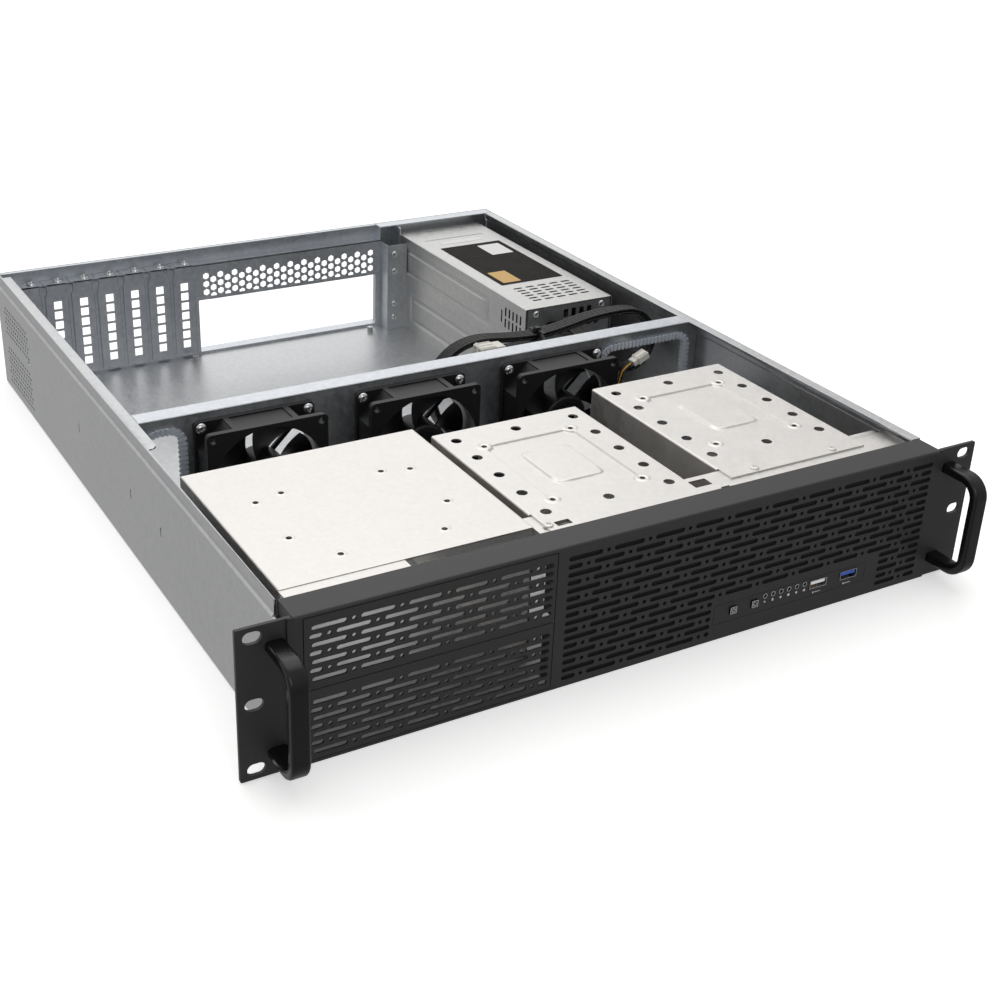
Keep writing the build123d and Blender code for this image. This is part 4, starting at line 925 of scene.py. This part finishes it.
def side_height(face_x, out, panel):
    """Depth of a case side with a groove pressed round a panel."""
    def depth(y, z):
        inside = in_rectangle(y, z, panel, 3)
        return face_x - out * (ease(inside / 1.8) - ease((inside - 3.4) / 1.8))
    return depth


# Thin zinc plated steel: a warmer grey than the case's own.
psu_zinc = zinc_plate("thin_zinc_plated_steel", "#d4d4d2", "#c6c6c5", 0.38)
vents = [obround(x0 + 19.5 + column * 10.8, y0 + 15.5 + row * 5.7, 8, 2.4, 4)
         for column in range(5) for row in range(6)]
top = [sheet([rounded(x0 + 1, x1 - 1, y0, y1, 0.3)] + vents, psu_high - shell, psu_high, "xy")]
side_slots = [around(y, z, 1.1, 3.6, 0.5, 2)
              for y in (y0 + 7 + column * 5.4 for column in range(5)) for z in (70, 61)]
side_slots.append(rounded(y0 + 33.5, y0 + 35.3, 60, 70, 0.5, 2))
side_lines = grid_lines(y0, y1, [v + d for v in upper_panel[:2] + lower_panel[:2] for d in (-1, 1)], 1, 6, 4)
upper_lines = grid_lines(seam + 0.1, psu_high - 1, upper_panel[2:], 0.9, 4, 5)
lower_lines = grid_lines(psu_low, seam, lower_panel[2:], 0.9, 4, 5)
top += [cut(relief(side_lines, upper_lines, "yz", side_height(x0, -1, upper_panel), -shell),
            [sheet([loop], x0 - 2, x0 + 2, "yz") for loop in side_slots]),
        relief(side_lines, upper_lines, "yz", side_height(x1, 1, upper_panel), shell)]
for s, x in ((1, x0), (-1, x1)):
    bend = [(x, psu_high - 1.05)] + bend_line(x, s, psu_high - 1, 1, (15, 30, 45, 60, 75, 90))
    bend += [(x + s * 1.05, psu_high), (x + s * 1.05, psu_high - shell), (x + s * shell, psu_high - shell - 0.25)]
    top.append(sheet([bend], y0, y1))
top.append(block(x0 + 10, x1 - 12, y0 + 177.4, y0 + 178.4, psu_high - 0.1, psu_high + 0.25, 0.1))
piece("psu_cover_sheet", top, [psu_zinc], ["psu_cover"], smooth=30)

base = [block(x0 + 0.6, x1 - 0.6, y0, y1, psu_low, psu_low + shell, 0.1)]
base += [relief(side_lines, lower_lines, "yz", side_height(x, out, lower_panel), out * shell)
         for out, x in ((-1, x0), (1, x1))]
end_loop = rounded(x0 + 1.7, x1 - 1.7, psu_low + 0.9, psu_high - 1.1, 1)
front_holes = [rounded(x0 + 19, x0 + 43, 59.1, 68.1, 1.2)]
front_holes += [rounded(x0 + 34 + 7 * k, x0 + 38 + 7 * k, 69.6, 76.4, 0.6) for k in range(4)]
front_holes += [obround(x0 + 52 + 6 * k, 62, 4.6, 3) for k in range(3)]
rear_holes = [disc(xm, psu_fan_z, 23.5, 48), rounded(xm - 13.9, xm + 13.9, 4.1, 23.9, 1)]
base += [sheet([end_loop] + front_holes, y0, y0 + shell), sheet([end_loop] + rear_holes, y1 - shell, y1)]
base += [(turned(case_screw, (x, y0, z), -rearward, 20), 1) for z in (76, 48) for x in (x0 + 9.5, x1 - 9.5)]
piece("psu_base_sheet", base, [psu_zinc, screw_steel], ["psu_base"], smooth=30)

# Matt laminated film: a warm near black that hardly shines.
plate_film = surface("dark_laminated_film", "#0f0a07", 0.55, 0.65, 8.33, others={"Specular IOR Level": 0.12})
# Gold and white label film: flat patches of colour.
gold_film = grained("gold_label_film", "#c69a3a", 0.35)
white_film = grained("white_label_paper", "#e4e4e2", 0.5)
plate = [(sheet([rounded(*spot, corner)], psu_high + low, psu_high + high, "xy"), finish)
         for spot, corner, low, high, finish in films]
piece("psu_blank_plate", plate, [plate_film, gold_film, white_film])


# Power supply's rear and inside
# A black ABS fan behind a welded wire guard, a mains inlet, and inside a green board with its
# transformer, capacitors and extruded heat sinks.
track_mm = 3.125
guard_bar = ((-25.4, -0.6), (25.4, -0.6), (25.4, 0.6), (-25.4, 0.6))
# Solder resist on glass fibre: deep green, with rows of tracks just showing through.
green_board, tree, shader = material("green_solder_resist")
tracks = node(tree, "TexBrick", {"Vector": node(tree, "TexCoord").outputs["Object"], "Scale": 500 / track_mm,
                                 "Color1": linear("#0d2f1d"), "Color2": linear("#103722"),
                                 "Mortar": linear("#0a2416")})
link(tree, shader, {"Base Color": tracks, "Roughness": 0.35})
# Extruded aluminium: brighter and smoother than the zinc round it.
aluminium = zinc_plate("extruded_aluminium", "#dcdee0", "#cfd1d4", 0.3)
paint(("psu_board", "front_board"), green_board)
paint(("psu_fan_frame", "psu_fan_rotor", "psu_inlet", "psu_transformer", "psu_capacitors", "front_switches"),
      black_abs)
paint(("psu_heat_sinks",), aluminium)
guard = [turned([(r - 0.6, 0), (r - 0.6, 1), (r + 0.6, 1), (r + 0.6, 0), (r - 0.6, 0)],
                (xm, rear - 1, psu_fan_z), rearward, 48) for r in (7, 12.5, 18, 23)]
for turn in (45, 135):
    c, s = math.cos(math.radians(turn)), math.sin(math.radians(turn))
    bar = [(xm + a * c - b * s, psu_fan_z + a * s + b * c) for a, b in guard_bar]
    guard.append(sheet([bar], rear - 1, rear - 0.2))
piece("psu_fan_guard_wire", guard, [screw_steel], ["psu_fan_guard"])


# Front controls
# Two small square buttons with printed rings, six lamps and two metal socket shells with
# coloured tongues, set in a faint overlay on the bezel.
button_print = (-2.24, -2.15)
bezel_print = (-bezel_sheet - 0.05, -bezel_sheet + 0.02)
lamp_profile = [(0, 0), (0.9, 0), (0.9, 13.2), (0.6, 13.6), (0, 13.75)]
lamp_mark_sides = (3, 12, 4, 6, 4, 6)
# Screen print ink: a pale grey that reads white on the black coat.
pale_ink = grained("pale_screen_print_ink", "#b9bbbe", 0.5)
for name, (x, z), gap in (("power", power_place, (65, 115)), ("reset", reset_place, (20, 70))):
    cap = [block(x - 2.4, x + 2.4, -2.2, 0.3, z - 2.4, z + 2.4, 0.35),
           block(x - 3.6, x + 3.6, 0.3, 1.3, z - 3.6, z + 3.6, 0.1),
           block(x - 1.2, x + 1.2, 1.2, 8.4, z - 1.2, z + 1.2, 0.1)]
    square = [around(x, z, r, r, corner) for r, corner in ((2.2, 0.4), (1.9, 0.3))]
    sweep = 360 - gap[1] + gap[0]
    ring = arc(x, z, 1.35, gap[1], sweep, 18) + arc(x, z, 1.02, gap[1], sweep, 18)[::-1]
    cap += [(sheet(square, *button_print), 1), (sheet([ring], *button_print), 1)]
    if name == "power":
        cap.append((block(x - 0.17, x + 0.17, *button_print, z + 0.2, z + 1.6, 0), 1))
    piece(f"{name}_button_cap", cap, [black_abs, pale_ink], [f"{name}_button"],
          body=f"{name}_button")
# Clear epoxy: glossy pale lenses.
lamp_epoxy = grained("clear_lamp_epoxy", "#b9bcc0", 0.2)
lamps = [turned(lamp_profile, (x, 13.5, z), -rearward, 14) for x, z in lamp_places]
piece("lamp_set", lamps, [lamp_epoxy], ["front_lamps"])
prints = []
for k, (x, z) in enumerate(lamp_places):
    prints.append([obround(x, 16.4, 1.4, 2.2) if k == 1 else disc(x, 16.4, 0.95, lamp_mark_sides[k], 90)])
    prints.append([disc(x, z, 1.55, 14), disc(x, z, 1.3, 14)])
for x, z in socket_places:
    prints += [[rounded(x - 2.6, x + 2.6, 12.6, 13, 0.15)], [disc(x - 2.9, 12.8, 0.6, 10)]]
marks = [sheet(loops, *bezel_print) for loops in prints]
edge = [rounded(48, 163.5, 10.4, 23.4, 1.2), rounded(48.25, 163.25, 10.65, 23.15, 1)]
marks.append((sheet(edge, -bezel_sheet - 0.04, -bezel_sheet + 0.02), 1))
piece("control_marks", marks, [pale_ink, gloss_black])
shells, tongues = [], []
for number, (x, z) in enumerate(socket_places):
    shells.append(sheet([around(x, z, 6.55, 2.85, 0.5), around(x, z, 6.15, 2.45, 0.3)], -1.6, 13.5))
    tongues += [(block(x - 6.1, x + 6.1, 9.5, 13.5, z - 2.4, z + 2.4, 0.1), number),
                (block(x - 5.4, x + 5.4, -1.2, 9.6, z - 0.2, z + 2, 0.2), number)]
    tongues += [(block(cx - 0.6, cx + 0.6, -0.4, 8, z - 0.3, z - 0.15, 0), 2)
                for cx in (x - 3.6 + 2.4 * contact for contact in range(4))]
piece("usb_shell_set", shells, [screw_steel], ["usb_shells"])
# Moulded nylon: one pale and one blue tongue, both satin.
white_tongue = grained("white_socket_nylon", "#dfe1e3", 0.4)
blue_tongue = grained("blue_socket_nylon", "#2b56b8", 0.4)
piece("usb_tongue_set", tongues, [white_tongue, blue_tongue, gold_film], ["usb_tongues"])


# Plugs and tie
# Black and white nylon housings on the cables' ends, moulded with latches, ribs and wire holes,
# and the nylon strap that holds the two black cables together.
main_route = [(157.5, 331, 64), (157.5, 313, 63), (160.5, 297, 52), (175, 288, 40),
              (193, 286, 40), (206, 287, 53), (206, 289, 71), (193, 291, 84),
              (175, 293, 84.5), (152, 294, 83), (128, 291, 80), (104, 289.5, 78),
              (79, 289, 80), (56, 290, 83), (36, 288.5, 79), (21, 287, 66),
              (16, 285, 47), (22, 283, 28), (36, 283, 12.5), (50, 284, 6.4),
              (66.5, 284, 6.4)]
drive_route = [(144.6, 331, 64), (144.6, 313, 65), (140, 297, 68), (126, 287, 71),
               (106, 282, 74.5), (87, 276, 79), (68.5, 276, 79)]
lead_route = [(125.8, 230, 50.5), (132.8, 230, 50.5), (138.3, 230.3, 54.5), (139.8, 230.5, 61),
              (142.3, 230.6, 67.4), (148.6, 230.6, 70.35)]
tie_x = (103.5, 106.5)
strap = [(277.2, 72.6), (286.8, 72.6), (296.4, 75.4), (297, 81.2), (283.6, 81.4), (276.4, 76.8)]
strap_in = [(277.7, 73.2), (286.6, 73.2), (295.9, 75.9), (296.4, 80.7), (283.8, 80.8), (277, 76.5)]


def plug(name, route, body, holes, parts, finish, node_name):
    """A housing made along Z, with wire holes cut in it, set at the end of a route, X rearward."""
    us, vs, half, low, high = holes
    pockets = [block(u - half, u + half, v - half, v + half, low, high, 0) for u in us for v in vs]
    shapes = [cut(block(*body), pockets)] + [block(*part) for part in parts]
    ahead = (Vector(route[-1]) - Vector(route[-2])).normalized()
    turn = Matrix((rearward, ahead.cross(rearward), ahead)).transposed().to_4x4()
    piece(name, [moved(data, turn, route[-1]) for data in shapes], [finish], [node_name])


# Natural nylon: an off-white with a waxy sheen.
white_nylon = grained("white_nylon", "#e2e0d8", 0.42)
plug("main_plug_housing", main_route, (-26, 26, -5, 5, 0, 14, 0.5),
     ([4.2 * k - 23.1 for k in range(12)], (-2.1, 2.1), 1.55, 4, 15),
     [(-7, 7, 5.9, 7, 0.6, 13, 0.4), (-6, 6, 4.8, 6.2, 5, 7.6, 0.3)]
     + [(u - 0.5, u + 0.5, 4.8, 5.5, 1, 13, 0.2) for u in (-22, -14, 14, 22)],
     black_abs, "main_plug")
plug("drive_plug_housing", drive_route, (-6.5, 6.5, -4, 4, 7, 20, 0.5),
     ((-3, 3), (-1.8, 1.8), 1.25, 11, 21),
     [(-5.7, 5.7, -3.3, 3.3, 0, 7.2, 0.5), (-6.9, 6.9, -4.3, 4.3, 16.8, 18, 0.3)]
     + [(u - 0.6, u + 0.6, -4.5, -3.8, 8, 19, 0.25) for u in (-4.6, 0, 4.6)],
     white_nylon, "drive_plug")
plug("fan_lead_plug_housing", lead_route, (-4, 4, -2.5, 2.5, 3.4, 13, 0.35),
     ((-2.5, 0, 2.5), (0,), 0.8, 8, 14),
     [(-3.4, 3.4, -2, 2, 0, 3.6, 0.3), (-4.3, 4.3, -2.8, 2.8, 4.2, 5.2, 0.25)]
     + [(u - 0.55, u + 0.55, 2.3, 3.3, 4, 12.4, 0.25) for u in (-2.4, 2.4)],
     white_nylon, "fan_lead_plug")
shapes = [sheet([strap, strap_in], *tie_x, plane="yz"),
          block(tie_x[0] - 0.8, tie_x[1] + 0.8, 286, 290.5, 81, 84.4, 0.4),
          block(tie_x[0] + 0.3, tie_x[1] - 0.3, 278, 286.4, 82.2, 83, 0.2)]
piece("cable_tie_strap", shapes, [black_abs], ["cable_tie"])


# Cables
# The power supply's two flat bundles of black wires leave its front opening side by side, run
# through the tie and end in their plugs; a short yellow and black lead ends one fan's wiring.
wire_spacing = 1.1
wire_sides = 10
wire_grain_mm = 1.43
levelling = 0.12


def cable(name, route, columns, rows, wire, jacket, node_name):
    """A free cable of side by side wires along one smooth spline."""
    data = bpy.data.curves.new(name, "CURVE")
    data.dimensions = "3D"
    data.resolution_u = 10
    spline = data.splines.new("NURBS")
    spline.points.add(len(route) - 1)
    for point, place in zip(spline.points, route):
        point.co = (*place, 1)
    spline.order_u = 3
    spline.use_endpoint_u = True
    guide = placed(name + "_line", data)
    graph = bpy.context.evaluated_depsgraph_get()
    line_mesh = bpy.data.meshes.new_from_object(guide.evaluated_get(graph))
    line = [v.co.copy() for v in line_mesh.vertices]
    bpy.data.objects.remove(guide)
    bpy.data.meshes.remove(line_mesh)
    ahead = headings(line)
    across = [ahead[0].cross(Vector((0, 0, 1))).normalized()]
    for way in ahead[1:]:
        level = rearward - way * rearward.dot(way)
        carried = across[-1] - way * across[-1].dot(way)
        across.append((carried + level * math.copysign(levelling, carried.dot(level))).normalized())
    pitch = wire * wire_spacing
    wires = []
    for row in range(rows):
        for k in range(columns):
            ring = disc((k - (columns - 1) / 2) * pitch, (row - (rows - 1) / 2) * pitch, wire / 2, wire_sides)
            wires.append((swept(line, [(u, -v) for u, v in ring], across), len(wires) % len(jacket)))
    made = piece(name, wires, jacket, [node_name], smooth=60)


# Drawn PVC: round wires with a narrow highlight along each, in black and in yellow.
black_jacket = surface("black_drawn_pvc", "#151516", 0.21, 0.33, wire_grain_mm, (wire_grain_mm, 2, 0.3))
yellow_jacket = surface("yellow_drawn_pvc", "#e0a012", 0.34, 0.46, wire_grain_mm, (wire_grain_mm, 2, 0.3))
cable("main_cable_jacket", main_route, 5, 2, 2.1, [black_jacket], "main_cable")
cable("drive_cable_jacket", drive_route, 4, 1, 2, [black_jacket], "drive_cable")
cable("fan_lead_jacket", lead_route, 3, 1, 1.2, [black_jacket, yellow_jacket, black_jacket], "fan_lead")
